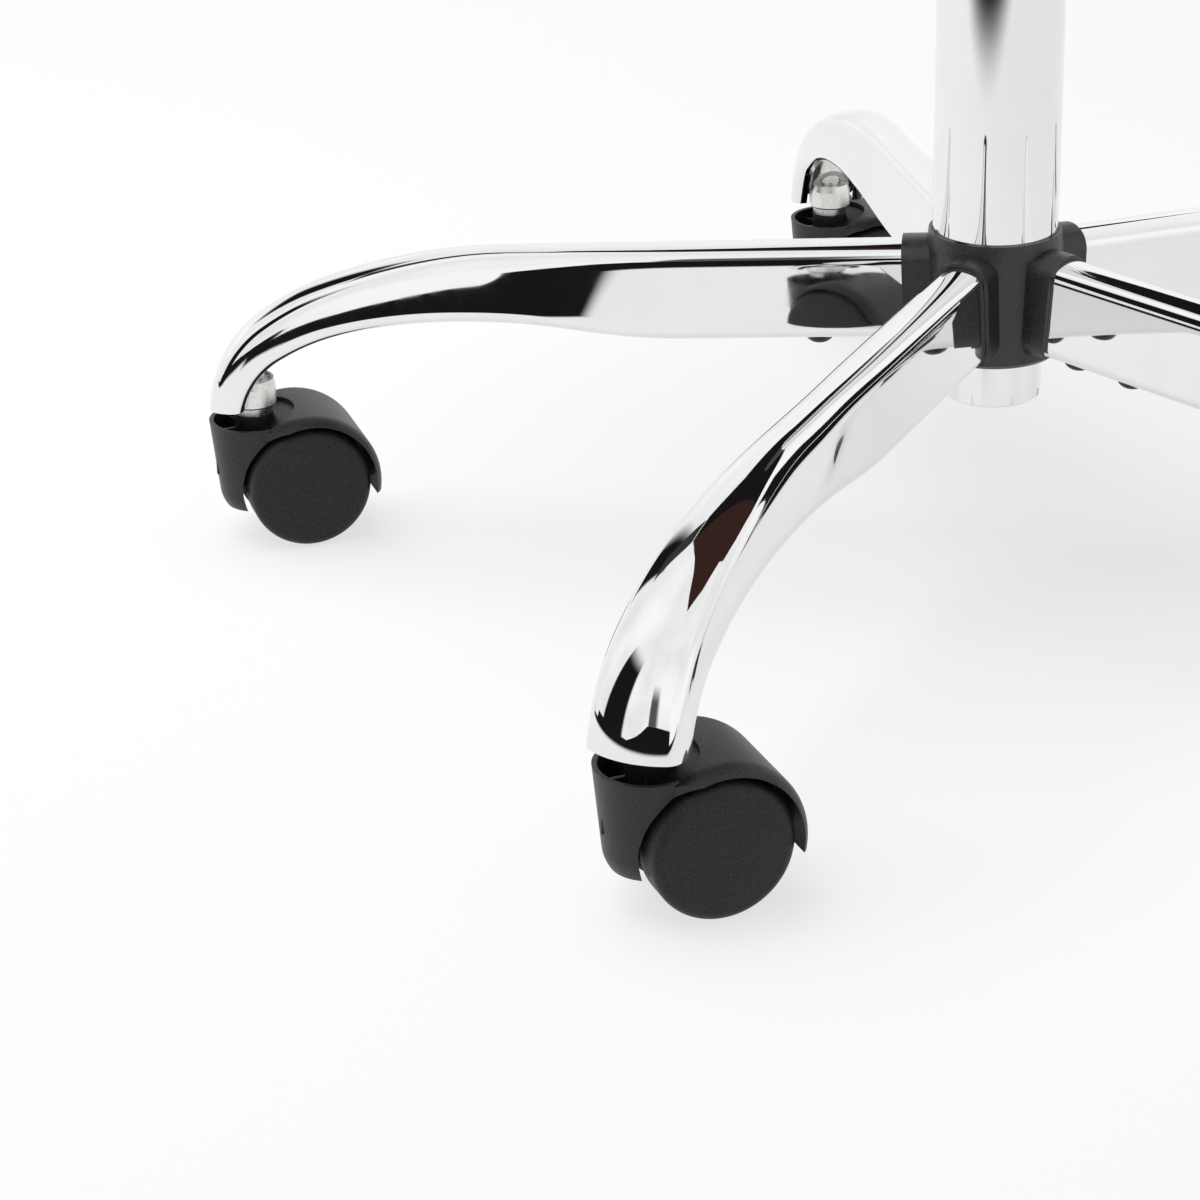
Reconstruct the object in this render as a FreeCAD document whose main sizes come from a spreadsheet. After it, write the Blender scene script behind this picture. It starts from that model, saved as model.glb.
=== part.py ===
import FreeCAD, Part
import math
import os
import Sketcher

# Five star base of an office chair with its gas lift and its five twin wheel casters.
# Frame: origin on the floor under the hub axis, +Z up, the first arm points along -Y.
# All lengths are in millimetres and all angles in degrees.

ARM_COUNT = 5
doc = FreeCAD.newDocument("five_star_base")
sheet = doc.addObject("Spreadsheet::Sheet", "sizes")

DIMENSIONS = {
    # overall
    "pivot_radius": 305.0,          # hub axis to each caster's swivel axis
    # wheels
    "wheel_radius": 25.5,
    "trail": 18.0,                  # swivel axis to wheel axle
    "tread_width": 11.0,
    "wheel_edge": 4.2,              # rounding between tread and outer face
    "dome_rise": 1.3,               # height of the domed outer face
    "wheel_wall": 2.2,
    "wheel_hub_wall": 3.0,
    "wheel_rib": 1.6,
    "axle_radius": 3.0,
    "axle_reach": 12.2,             # how far the axle goes into each wheel
    # caster housing
    "hood_gap": 2.1,                # between tread and hood
    "hood_wall": 3.0,
    "hood_side": 1.8,               # how far the hood stands out beyond the wheels
    "hood_edge": 9.0,               # rounding of the hood's outer edges
    "hood_lip_angle": 10.0,         # how far the hood reaches below the axle behind
    "shoulder_end": 13.0,           # where the hood has its full width, behind the swivel axis
    "shoulder_front": 8.0,
    "shoulder_step": 1.4,
    "inner_wall": 1.3,              # wall between the cup's room and the wheels' rooms
    "web_notch": 4.0,
    "cup_over_wheel": 1.4,          # the cup's rim stands this far above the wheels
    "cup_rim_radius": 18.7,
    "cup_flare": 2.6,               # the cup widens this much from its foot to its rim
    "cup_height": 30.9,             # from the cup's foot, where its bowl starts, to the rim
    "cup_bowl_radius": 14.7,
    "cup_bowl_depth": 12.9,
    "cup_bowl_start": 1.5,
    "cup_floor_flare": 0.8,
    "cup_wall": 1.8,
    "cup_room_depth": 21.4,
    "cup_floor_thickness": 2.2,
    "skirt_cut": 7.0,               # the skirt ends this far in front of the swivel axis line
    "skirt_depth": 6.2,             # level lower edge of the skirt, below the cup's foot
    "web_half": 3.0,
    "boss_radius": 8.2,
    "boss_half_width": 7.2,
    "boss_foot": 5.0,               # wall under the stem's foot
    "boss_gap": 0.6,                # between the boss and each wheel
    "axle_boss_wall": 3.4,
    "cup_rib": 1.4,
    "cup_rib_drop": 3.4,            # the ribs' tops lie this far below the rim
    # caster stem
    "stem_radius": 5.5,
    "stem_collar_radius": 8.0,
    "stem_collar_height": 3.2,
    "stem_collar_lift": 2.8,        # collar above the cup's rim
    "stem_foot_radius": 4.6,
    "stem_foot_depth": 23.4,        # stem's foot below the cup's rim
    "stem_grip": 21.4,              # length of stem in the socket
    "grip_ring_height": 2.4,
    "grip_ring_rise": 11.4,
    "grip_ring_depth": 1.0,
    # caster socket under the tip of each arm
    "socket_radius": 9.8,
    "socket_height": 8.4,           # up to where it narrows
    "socket_neck_radius": 7.8,
    "socket_neck_rise": 10.0,
    "socket_show": 1.4,             # socket's foot below the level cut at the arm's tip
    "socket_drop": 3.0,
    # arm: its ridge line seen from the side, a straight run and three bends
    "arm_rise": 78.2,               # ridge at the inner end above the level cut at the tip
    "arm_fall": 2.7,                # slope of the straight run
    "arm_overhang": 17.7,           # how far the tip's ridge ends beyond the swivel axis
    "bend_radius_wide": 240.0,
    "bend_turn_wide": 18.8,
    "bend_radius_mid": 125.0,
    "bend_turn_mid": 14.5,
    "bend_radius_tip": 56.0,
    "bend_turn_tip": 55.0,
    # arm: its section at the hub, along the slender part and at the tip
    "arm_depth_hub": 38.2,
    "arm_depth_slender": 28.6,
    "arm_depth_bend": 21.6,
    "arm_depth_tip": 16.4,
    "arm_half_width_hub": 10.4,
    "arm_half_width_slender": 14.0,
    "arm_half_width_bend": 16.2,
    "arm_half_width_tip": 18.0,
    "arm_corner_hub": 6.5,          # rounding between the crown and each side
    "arm_corner_slender": 8.5,
    "arm_corner_bend": 7.5,
    "arm_corner_tip": 7.0,
    "arm_flare_hub": 2.0,           # how far the sides lean outwards from upright
    "arm_flare_slender": 13.0,
    "arm_flare_bend": 10.0,
    "arm_flare_tip": 5.0,
    "arm_crown_angle": 25.0,        # half angle of the crown arc on top of the section
    "knee_start": 0.60,             # share of the straight run where the arm starts to slim
    "knee_end": 1.07,
    "arm_wall": 1.8,
    "arm_edge_radius": 4.6,         # rolled lower edge
    "arm_lip": 6.6,                 # width of the turned-in lip
    # outer tube of the gas lift
    "column_radius": 24.5,
    "column_wall": 1.5,
    "column_length": 156.2,         # above the hub
    "seat_taper": 1.2,              # how much the seat in the hub narrows downwards
    "seat_shoulder": 3.0,
    "neck_step": 5.0,               # how much narrower the foot below the hub is
    "neck_length": 18.6,            # the foot below the hub
    "neck_wall": 1.6,
    "neck_edge": 1.0,
    "foot_rise": 5.6,               # foot plate above the foot's lower rim
    "foot_thickness": 3.0,
    "crimp_width": 1.7,
    "crimp_height": 3.2,
    "crimp_depth": 0.9,
    # hub
    "hub_wall": 2.3,                # hub barrel outside the column
    "hub_chamfer": 1.5,
    "hub_below": 6.0,               # hub bottom below the arm's lower edge
    "hub_shoulder_drop": 0.6,       # shoulder of the barrel below the arm's ridge
    "hub_collar": 6.2,
    "hub_collar_taper": 0.9,
    "hub_core": 8.3,                # sleeves and tongues start inside the bore by this much
    "arm_setback": 2.7,             # arm's inner end outside the barrel
    "sleeve_length": 9.2,           # how far the sleeves reach beyond the barrel
    "sleeve_wall": 1.5,
    "sleeve_lift": 0.5,             # sleeve's lower edge above the arm's lower edge
    "fit_gap": 0.15,                # clearance between pieces that are only pushed together
    # arm bolts and the tongues that they screw into
    "bolt_reach": 7.0,              # inner bolts beyond the sleeves' ends
    "bolt_spacing": 25.5,
    "tongue_margin": 11.5,          # tongue beyond the outer bolt
    "bolt_shank_radius": 3.0,
    "bolt_head_radius": 6.0,
    "bolt_head_height": 3.4,
    "bolt_length": 14.0,
    "bolt_socket_radius": 2.2,
    "bolt_crown_radius": 3.4,
    "bolt_crown_arc": 5.5,
    "bolt_head_edge": 0.6,
    # piston rod, thrust bearing and buffer
    "rod_radius": 5.0,
    "rod_foot_drop": 3.8,           # rod end below the foot plate
    "clip_radius": 8.6,
    "clip_thickness": 1.2,
    "clip_opening": 6.4,
    "clip_groove": 0.8,
    "washer_radius": 13.5,
    "washer_thickness": 1.6,
    "ball_radius": 1.7,
    "ball_circle": 9.6,
    "cage_thickness": 1.6,
    "cage_margin": 1.2,
    "bearing_play": 0.05,
    "buffer_radius": 12.0,
    "buffer_height": 14.0,
    "running_gap": 0.06,            # radial clearance of every turning or sliding fit
    "seat_gap": 0.05,               # between a spring ring and the floor of its groove
    "free_gap": 0.3,                # clearance between faces that move past each other
    "collar_gap": 0.2,              # between the stem's collar and the socket
    # gas cylinder
    "cylinder_radius": 14.0,
    "cylinder_wall": 1.5,
    "cylinder_lift": 35.0,          # cylinder's lower end above the foot plate
    "cylinder_show": 76.0,          # cylinder above the column, at its lowest
    "taper_length": 62.0,
    "taper": 1.1,
    "guide_height": 12.0,           # rod guide in the cylinder's lower end
    "piston_height": 12.0,
    "piston_drop": 10.0,            # piston's lower face below the column's top
    "valve_length": 34.0,           # solid head that closes the top of the cylinder
    "bushing_depth": 72.0,
    "bushing_flange": 3.0,
    "bushing_relief": 1.0,
    "pin_radius": 4.0,
    "pin_depth": 24.0,
    "pin_edge": 0.8,
    "pin_rise": 6.0,
    "pin_travel": 3.0,
}

KNEE_STEPS = 4
TIP_STEPS = 4
BALL_COUNT = 8

# headings of the five casters, from +X, as they stand in the picture
CASTER_HEADINGS = {
    "heading_1": 49.1,
    "heading_2": 45.8,
    "heading_3": 44.0,
    "heading_4": 50.0,
    "heading_5": 47.0,
}


class Size:
    """A length that knows both its value and how the sheet works it out."""

    def __init__(self, value, text):
        self.value = value
        self.text = text

    @staticmethod
    def of(other):
        if isinstance(other, Size):
            return other
        return Size(float(other), repr(float(other)))

    def __add__(self, other):
        other = Size.of(other)
        return Size(self.value + other.value, f"({self.text} + {other.text})")

    def __sub__(self, other):
        other = Size.of(other)
        return Size(self.value - other.value, f"({self.text} - {other.text})")

    def __mul__(self, other):
        other = Size.of(other)
        return Size(self.value * other.value, f"({self.text} * {other.text})")

    def __truediv__(self, other):
        other = Size.of(other)
        return Size(self.value / other.value, f"({self.text} / {other.text})")

    def __neg__(self):
        return Size(-self.value, f"(0 - {self.text})")

    __radd__ = __add__
    __rmul__ = __mul__

    def __rsub__(self, other):
        return Size.of(other) - self


def fill_sheet():
    """Writes every driving dimension into the sheet and returns them by name."""
    cells = {}
    for row, (alias, value) in enumerate({**DIMENSIONS, **CASTER_HEADINGS}.items(), start=1):
        sheet.set(f"A{row}", alias.replace("_", " "))
        sheet.set(f"B{row}", str(value))
        sheet.setAlias(f"B{row}", alias)
        cells[alias] = Size(value, f"sizes.{alias}")
    doc.recompute()
    return cells


def derive(sizes):
    """Sizes and levels that follow from the ones above."""
    d = sizes
    # across the caster
    d["wheel_inner_face"] = d["boss_half_width"] + d["boss_gap"]
    d["wheel_dome"] = d["wheel_inner_face"] + d["tread_width"] + d["wheel_edge"] + d["dome_rise"]
    d["axle_half_length"] = d["wheel_inner_face"] + d["axle_reach"]
    d["wheel_hub_radius"] = d["axle_radius"] + d["wheel_hub_wall"]
    d["axle_boss_radius"] = d["axle_radius"] + d["axle_boss_wall"]
    d["hood_half_width"] = d["wheel_dome"] + d["hood_side"]
    d["cup_foot_radius"] = d["cup_rim_radius"] - d["cup_flare"]
    # heights, from the floor up
    d["cup_rim"] = d["wheel_radius"] * 2 + d["cup_over_wheel"]
    d["cup_foot_height"] = d["cup_rim"] - d["cup_height"]
    d["cup_bottom"] = d["cup_foot_height"] - d["cup_bowl_depth"]
    d["cup_floor"] = d["cup_rim"] - d["cup_room_depth"]
    d["stem_foot"] = d["cup_rim"] - d["stem_foot_depth"]
    d["boss_bottom"] = d["stem_foot"] - d["boss_foot"]
    d["stem_collar_bottom"] = d["cup_rim"] + d["stem_collar_lift"]
    d["stem_collar_top"] = d["stem_collar_bottom"] + d["stem_collar_height"]
    d["socket_bottom"] = d["stem_collar_top"] + d["collar_gap"]
    d["stem_top"] = d["socket_bottom"] + d["stem_grip"]
    d["grip_ring_level"] = d["socket_bottom"] + d["grip_ring_rise"]
    d["socket_shoulder"] = d["socket_bottom"] + d["socket_height"]
    d["socket_neck_height"] = d["socket_shoulder"] + d["socket_neck_rise"]
    d["arm_tip_height"] = d["socket_bottom"] + d["socket_show"]
    d["arm_ridge_height"] = d["arm_tip_height"] + d["arm_rise"]
    d["hub_bottom"] = d["arm_ridge_height"] - d["arm_depth_hub"] - d["hub_below"]
    d["hub_shoulder"] = d["arm_ridge_height"] - d["hub_shoulder_drop"]
    d["hub_top"] = d["hub_shoulder"] + d["hub_collar"]
    d["sleeve_bottom"] = d["arm_ridge_height"] - d["arm_depth_hub"] - d["sleeve_lift"]
    d["column_top"] = d["hub_top"] + d["column_length"]
    d["neck_bottom"] = d["hub_bottom"] - d["neck_length"]
    d["foot_height"] = d["neck_bottom"] + d["foot_rise"]
    d["rod_end"] = d["foot_height"] - d["rod_foot_drop"]
    d["rod_top"] = d["column_top"] - d["piston_drop"]
    d["cylinder_bottom"] = d["foot_height"] + d["cylinder_lift"]
    d["cylinder_top"] = d["column_top"] + d["cylinder_show"]
    # radii about the hub's axis
    d["seat_radius"] = d["column_radius"] - d["seat_taper"]
    d["neck_radius"] = d["column_radius"] - d["neck_step"]
    d["taper_top_radius"] = d["cylinder_radius"] - d["taper"]
    d["hub_radius"] = d["column_radius"] + d["hub_wall"]
    d["hub_top_radius"] = d["hub_radius"] - d["hub_collar_taper"]
    d["hub_root"] = d["seat_radius"] - d["hub_core"]
    d["arm_start"] = d["hub_radius"] + d["arm_setback"]
    d["sleeve_reach"] = d["hub_radius"] + d["sleeve_length"]
    d["bolt_inner_radius"] = d["sleeve_reach"] + d["bolt_reach"]
    d["tongue_reach"] = d["bolt_inner_radius"] + d["bolt_spacing"] + d["tongue_margin"]
    return d


D = derive(fill_sheet())
SUB_PARTS = {}


def mm(name):
    """The number behind a named size."""
    return D[name].value


def keep(node, thing):
    """Names a finished sub-part after its node."""
    thing.Label = node
    SUB_PARTS[node] = thing
    return thing


def bind(thing, **properties):
    """Sets properties of a document object from sizes."""
    for name, size in properties.items():
        size = Size.of(size)
        setattr(thing, name, size.value)
        thing.setExpression(name, size.text)
    return thing


# Sketches and features

def new_body(name):
    return doc.addObject("PartDesign::Body", name)


def origin_plane(body, role):
    for feature in body.Origin.OriginFeatures:
        if feature.Role == role:
            return feature
    raise ValueError(role)


def pin_down(sketch, geometry, point, position):
    """Holds one point of a sketch at a place given by two sizes."""
    for kind, size in (("DistanceX", position[0]), ("DistanceY", position[1])):
        size = Size.of(size)
        index = sketch.addConstraint(
            Sketcher.Constraint(kind, -1, 1, geometry, point, size.value))
        if size.text.startswith("sizes") or "(" in size.text:
            sketch.setExpression(f"Constraints[{index}]", size.text)


def arc_between(start, end, radius, turn):
    """The shorter arc from start to end, turning left (1) or right (-1)."""
    middle = (start + end) / 2
    half = (end - start) / 2
    sideways = FreeCAD.Vector(-half.y, half.x, 0).normalize()
    reach = math.sqrt(max(radius ** 2 - half.Length ** 2, 0.0))
    centre = middle + sideways * reach * turn
    bulge = centre + (middle - centre).normalize() * radius
    if reach < 1e-9:
        bulge = middle - sideways * radius * turn
    return Part.Arc(start, bulge, end)


def outline(sketch, corners):
    """Draws a closed outline. A corner is (x, y), or (x, y, radius, turn) before an arc."""
    places = [FreeCAD.Vector(Size.of(c[0]).value, Size.of(c[1]).value, 0) for c in corners]
    first = sketch.GeometryCount
    starts = []
    for i, corner in enumerate(corners):
        start = places[i]
        end = places[(i + 1) % len(corners)]
        if len(corner) == 2:
            sketch.addGeometry(Part.LineSegment(start, end), False)
            starts.append((1, 2))
            continue
        arc = arc_between(start, end, Size.of(corner[2]).value, corner[3])
        index = sketch.addGeometry(arc, False)
        drawn = sketch.Geometry[index]
        forward = (drawn.StartPoint - start).Length < 1e-4
        starts.append((1, 2) if forward else (2, 1))
        bound = sketch.addConstraint(
            Sketcher.Constraint("Radius", index, Size.of(corner[2]).value))
        sketch.setExpression(f"Constraints[{bound}]", Size.of(corner[2]).text)
    for i, corner in enumerate(corners):
        following = (i + 1) % len(corners)
        sketch.addConstraint(Sketcher.Constraint(
            "Coincident", first + i, starts[i][1], first + following, starts[following][0]))
        pin_down(sketch, first + i, starts[i][0], corner)


def circle(sketch, x, y, radius):
    place = FreeCAD.Vector(Size.of(x).value, Size.of(y).value, 0)
    radius = Size.of(radius)
    index = sketch.addGeometry(
        Part.Circle(place, FreeCAD.Vector(0, 0, 1), radius.value), False)
    bound = sketch.addConstraint(Sketcher.Constraint("Radius", index, radius.value))
    sketch.setExpression(f"Constraints[{bound}]", radius.text)
    pin_down(sketch, index, 3, (x, y))


def new_sketch(body, name, role="XZ_Plane", lift=None):
    """A sketch on one of the body's own origin planes, moved along its normal by lift."""
    sketch = body.newObject("Sketcher::SketchObject", name)
    sketch.AttachmentSupport = [(origin_plane(body, role), "")]
    sketch.MapMode = "FlatFace"
    if lift is not None:
        lift = Size.of(lift)
        sketch.AttachmentOffset = FreeCAD.Placement(
            FreeCAD.Vector(0, 0, lift.value), FreeCAD.Rotation())
        sketch.setExpression("AttachmentOffset.Base.z", lift.text)
    return sketch


def turned(body, name, corners, cut=False):
    """Revolves an outline, given as radius and height, about the Z axis."""
    sketch = new_sketch(body, name + "_outline")
    outline(sketch, corners)
    kind = "PartDesign::Groove" if cut else "PartDesign::Revolution"
    feature = body.newObject(kind, name)
    feature.Profile = sketch
    feature.ReferenceAxis = (sketch, ["V_Axis"])
    feature.Angle = 360
    return feature


def turned_body(name, corners):
    body = new_body(name + "_body")
    turned(body, name + "_turned", corners)
    return body


def pad(body, name, sketch, length, cut=False, middle=False, reverse=False):
    kind = "PartDesign::Pocket" if cut else "PartDesign::Pad"
    feature = body.newObject(kind, name)
    feature.Profile = sketch
    bind(feature, Length=length)
    if middle:
        feature.Midplane = True
    if reverse:
        feature.Reversed = True
    return feature


def around(body, name, feature, count, angle=360):
    """Repeats a feature about the body's Z axis."""
    pattern = body.newObject("PartDesign::PolarPattern", name)
    pattern.Originals = [feature]
    for candidate in body.Origin.OriginFeatures:
        if candidate.Role == "Z_Axis":
            pattern.Axis = (candidate, [""])
    pattern.Angle = angle
    pattern.Occurrences = count
    body.Tip = pattern
    return pattern


def link_to(original, name, placement, **bound):
    """A copy of a piece that follows its original."""
    copy = doc.addObject("App::Link", name)
    copy.LinkedObject = original
    copy.Placement = placement
    for path, size in bound.items():
        copy.setExpression("Placement." + path.replace("_", "."), size.text)
    return copy


def about_z(angle, base=FreeCAD.Vector()):
    return FreeCAD.Placement(base, FreeCAD.Rotation(FreeCAD.Vector(0, 0, 1), angle))


def arm_angle(number):
    return -90.0 - (number - 1) * 360.0 / ARM_COUNT


# The arm's ridge and its sections

def arm_straight():
    """Length of the straight run that brings the tip over the swivel axis."""
    reach = mm("pivot_radius") + mm("arm_overhang") - mm("arm_start")
    slope = math.radians(mm("arm_fall"))
    turned_by = slope
    for part in ("wide", "mid", "tip"):
        turn = math.radians(mm("bend_turn_" + part))
        reach -= mm("bend_radius_" + part) * (math.sin(turned_by + turn) - math.sin(turned_by))
        turned_by += turn
    return reach / math.cos(slope)


def ridge(along):
    """Radius, height and downward slope (radians) of the ridge at a distance along it."""
    slope = math.radians(mm("arm_fall"))
    radius = mm("arm_start")
    height = mm("arm_ridge_height")
    straight = min(along, arm_straight())
    radius += straight * math.cos(slope)
    height -= straight * math.sin(slope)
    along -= straight
    for part in ("wide", "mid", "tip"):
        bend = mm("bend_radius_" + part)
        turn = min(along / bend, math.radians(mm("bend_turn_" + part)))
        radius += bend * (math.sin(slope + turn) - math.sin(slope))
        height -= bend * (math.cos(slope) - math.cos(slope + turn))
        slope += turn
        along -= bend * turn
    return radius, height, slope


def arc_length(part):
    return mm("bend_radius_" + part) * math.radians(mm("bend_turn_" + part))


def eased(low, high, share):
    """Runs from low to high and starts and ends level."""
    return low + (high - low) * share * share * (3 - 2 * share)


def mixed(low, high, share):
    return low + (high - low) * share


def arm_section(place):
    """Depth, half width, corner radius and flare at a named place: hub, slender, bend or tip."""
    return [mm(kind + place) for kind in
            ("arm_depth_", "arm_half_width_", "arm_corner_", "arm_flare_")]


def between(first, second, share):
    return [mixed(low, high, share) for low, high in zip(first, second)]


def arm_stations():
    """Distance along the ridge and the section's four sizes, from the hub to the tip."""
    straight = arm_straight()
    knee = mm("knee_start") * straight
    knee_end = mm("knee_end") * straight
    wide_end = straight + arc_length("wide")
    mid_end = wide_end + arc_length("mid")
    tip_end = mid_end + arc_length("tip")
    hub, slender, bend, tip = [arm_section(place)
                               for place in ("hub", "slender", "bend", "tip")]
    stations = [[0.0] + hub]
    for step in range(KNEE_STEPS + 1):
        share = step / KNEE_STEPS
        stations.append([mixed(knee, knee_end, share)]
                        + between(hub, slender, eased(0.0, 1.0, share)))
    for share in (0.5, 1.0):
        stations.append([mixed(knee_end, wide_end, share)] + between(slender, bend, share))
    for step in range(TIP_STEPS + 1):
        place = mixed(mid_end, tip_end, step / TIP_STEPS)
        share = (place - wide_end) / (tip_end - wide_end)
        stations.append([place] + between(bend, tip, share))
    return stations


def half_section(station, inset, slotted):
    """One half of a section, as runs of points across and up, from the ridge to the bottom."""
    depth, half_width, corner, flare = station[1:]
    crown_angle = math.radians(mm("arm_crown_angle"))
    side_angle = math.radians(90.0 - flare)
    edge = mm("arm_edge_radius")
    lean = math.tan(math.radians(flare))
    slant = 1 / math.cos(math.radians(flare))
    # the side leaves the corner's arc and meets the edge's arc, both without a kink
    centre_across = ((half_width - edge + (edge - corner) * slant
                      - (depth - edge - corner) * lean)
                     / (1 - math.tan(crown_angle / 2) * lean))
    centre_up = -corner - centre_across * math.tan(crown_angle / 2)
    crown = corner + centre_across / math.sin(crown_angle)

    def on_crown(angle):
        reach = crown - inset
        return (reach * math.sin(angle), reach * math.cos(angle) - crown)

    def on_corner(angle):
        reach = corner - inset
        return (centre_across + reach * math.sin(angle), centre_up + reach * math.cos(angle))

    def on_edge(angle):
        reach = edge - inset
        return (half_width - edge + reach * math.sin(angle),
                edge - depth + reach * math.cos(angle))

    runs = [
        [on_crown(0.0), on_crown(crown_angle / 2), on_crown(crown_angle)],
        [on_corner(crown_angle), on_corner((crown_angle + side_angle) / 2),
         on_corner(side_angle)],
        [on_corner(side_angle), on_edge(side_angle)],
        [on_edge(side_angle), on_edge((side_angle + math.pi) / 2), on_edge(math.pi)],
    ]
    if slotted:
        slot = half_width - mm("arm_lip")
        runs.append([on_edge(math.pi), (slot, inset - depth)])
        runs.append([(slot, inset - depth), (slot, -depth - edge)])
    return runs


def section_wire(station, inset=0.0, slotted=False):
    """The closed outline of a section, standing square to the ridge at a station."""
    radius, height, slope = ridge(station[0])
    base = FreeCAD.Vector(radius, 0, height)
    upward = FreeCAD.Vector(math.sin(slope), 0, math.cos(slope))
    runs = half_section(station, inset, slotted)
    edges = []
    for sign in (1, -1):
        for run in runs:
            points = [base + FreeCAD.Vector(0, sign * across, 0) + upward * up
                      for across, up in run]
            kind = Part.Arc if len(points) == 3 else Part.LineSegment
            edges.append(kind(*points).toShape())
    across, up = runs[-1][-1]
    left = base + FreeCAD.Vector(0, across, 0) + upward * up
    right = base + FreeCAD.Vector(0, -across, 0) + upward * up
    edges.append(Part.LineSegment(left, right).toShape())
    return Part.Wire(Part.__sortEdges__(edges))


def lofted(stations, **options):
    wires = [section_wire(station, **options) for station in stations]
    return Part.makeLoft(wires, True, True)


def hub_run(first_radius, last_radius, inset, deeper=0.0):
    """A straight length of the arm's hub section, or of an inset or an outset of it."""
    slope = math.radians(mm("arm_fall"))
    station = [0.0] + arm_section("hub")
    station[1] += deeper
    station[2] += deeper * math.tan(math.radians(mm("arm_flare_hub")))
    direction = FreeCAD.Vector(math.cos(slope), 0, -math.sin(slope))
    face = Part.Face(section_wire(station, inset=inset))
    face.translate(direction * ((first_radius - mm("arm_start")) / math.cos(slope)))
    return face.extrude(direction * ((last_radius - first_radius) / math.cos(slope)))


def make_feature(name, shape):
    feature = doc.addObject("Part::Feature", name)
    feature.Shape = shape
    return feature


def build_arms():
    """Pressed channels: rounded on top, open below between two turned-in lips."""
    stations = arm_stations()
    outside = make_feature("arm_outside", lofted(stations))
    inside = make_feature(
        "arm_inside", lofted(stations, inset=mm("arm_wall"), slotted=True))
    floor_side = doc.addObject("Part::Box", "arm_tip_trim")
    bind(floor_side, Length=D["pivot_radius"] * 2, Width=D["pivot_radius"] * 2,
         Height=D["arm_tip_height"])
    floor_side.setExpression("Placement.Base.y", (-D["pivot_radius"]).text)
    removed = doc.addObject("Part::MultiFuse", "arm_removed")
    removed.Shapes = [inside, floor_side]
    arm = doc.addObject("Part::Cut", "arm_pressing")
    arm.Base = outside
    arm.Tool = removed
    for number in range(1, ARM_COUNT + 1):
        keep(f"arm_{number}", link_to(arm, f"arm_link_{number}", about_z(arm_angle(number))))


def star_of(piece, name):
    """Five copies of a piece, one at each arm."""
    return [link_to(piece, f"{name}_{number}", about_z(arm_angle(number)))
            for number in range(1, ARM_COUNT + 1)]


# Hub, with sleeves round the arms and tongues inside them

def build_hub():
    gap = D["fit_gap"]
    fit = mm("fit_gap")
    barrel = turned_body("hub_barrel", [
        (Size.of(0.0), D["hub_bottom"]),
        (D["hub_radius"] - D["hub_chamfer"], D["hub_bottom"]),
        (D["hub_radius"], D["hub_bottom"] + D["hub_chamfer"]),
        (D["hub_radius"], D["hub_shoulder"]),
        (D["hub_top_radius"], D["hub_top"]),
        (Size.of(0.0), D["hub_top"]),
    ])
    bore = turned_body("hub_bore", [
        (Size.of(0.0), D["hub_bottom"] - 1.0),
        (D["seat_radius"] + gap, D["hub_bottom"] - 1.0),
        (D["seat_radius"] + gap, D["hub_bottom"] + D["seat_shoulder"]),
        (D["column_radius"] + gap, D["hub_top"]),
        (D["column_radius"] + gap, D["hub_top"] + 1.0),
        (Size.of(0.0), D["hub_top"] + 1.0),
    ])
    inner = mm("hub_root")
    sleeve_end = mm("sleeve_reach")
    outer = make_feature(
        "sleeve_outside", hub_run(inner, sleeve_end, -fit - mm("sleeve_wall")))
    pocket = make_feature("sleeve_pocket", hub_run(
        mm("arm_start") - fit, 2 * sleeve_end, -fit, deeper=sleeve_end / 2))
    below = doc.addObject("Part::Box", "sleeve_trim")
    bind(below, Length=D["sleeve_reach"] * 2, Width=D["sleeve_reach"] * 2,
         Height=D["sleeve_bottom"])
    below.setExpression("Placement.Base.y", (-D["sleeve_reach"]).text)
    removed = doc.addObject("Part::MultiFuse", "sleeve_removed")
    removed.Shapes = [pocket, below]
    sleeve = doc.addObject("Part::Cut", "hub_sleeve")
    sleeve.Base = outer
    sleeve.Tool = removed
    bar = make_feature("tongue_bar", hub_run(
        inner, mm("tongue_reach"), mm("arm_wall") + fit))
    drill = doc.addObject("Part::Cylinder", "bolt_hole")
    bind(drill, Radius=D["bolt_shank_radius"] + D["running_gap"], Height=D["bolt_length"] + 1.0)
    holes = doc.addObject("Part::Compound", "bolt_holes")
    holes.Links = [link_to(drill, f"bolt_hole_{place + 1}", bolt_tilt(place))
                   for place in (0, 1)]
    tongue = doc.addObject("Part::Cut", "hub_tongue")
    tongue.Base = bar
    tongue.Tool = holes
    star = doc.addObject("Part::MultiFuse", "hub_star")
    star.Refine = False
    star.Shapes = ([barrel] + star_of(sleeve, "sleeve_link")
                   + star_of(tongue, "tongue_link"))
    hub = doc.addObject("Part::Cut", "hub_casting")
    hub.Base = star
    hub.Tool = bore
    keep("hub", hub)


def lip_underside(radius):
    """Height of the arm's lower face at a radius on its straight run."""
    slope = math.radians(mm("arm_fall"))
    start_height = mm("arm_ridge_height") - mm("arm_depth_hub") / math.cos(slope)
    return start_height - (radius - mm("arm_start")) * math.tan(slope)


def bolt_tilt(place):
    """Where an inner (0) or outer (1) bolt stands, square to the arm's lower face."""
    at = mm("bolt_inner_radius") + place * mm("bolt_spacing")
    return FreeCAD.Placement(
        FreeCAD.Vector(at, 0, lip_underside(at)),
        FreeCAD.Rotation(FreeCAD.Vector(0, 1, 0), mm("arm_fall")))


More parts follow.
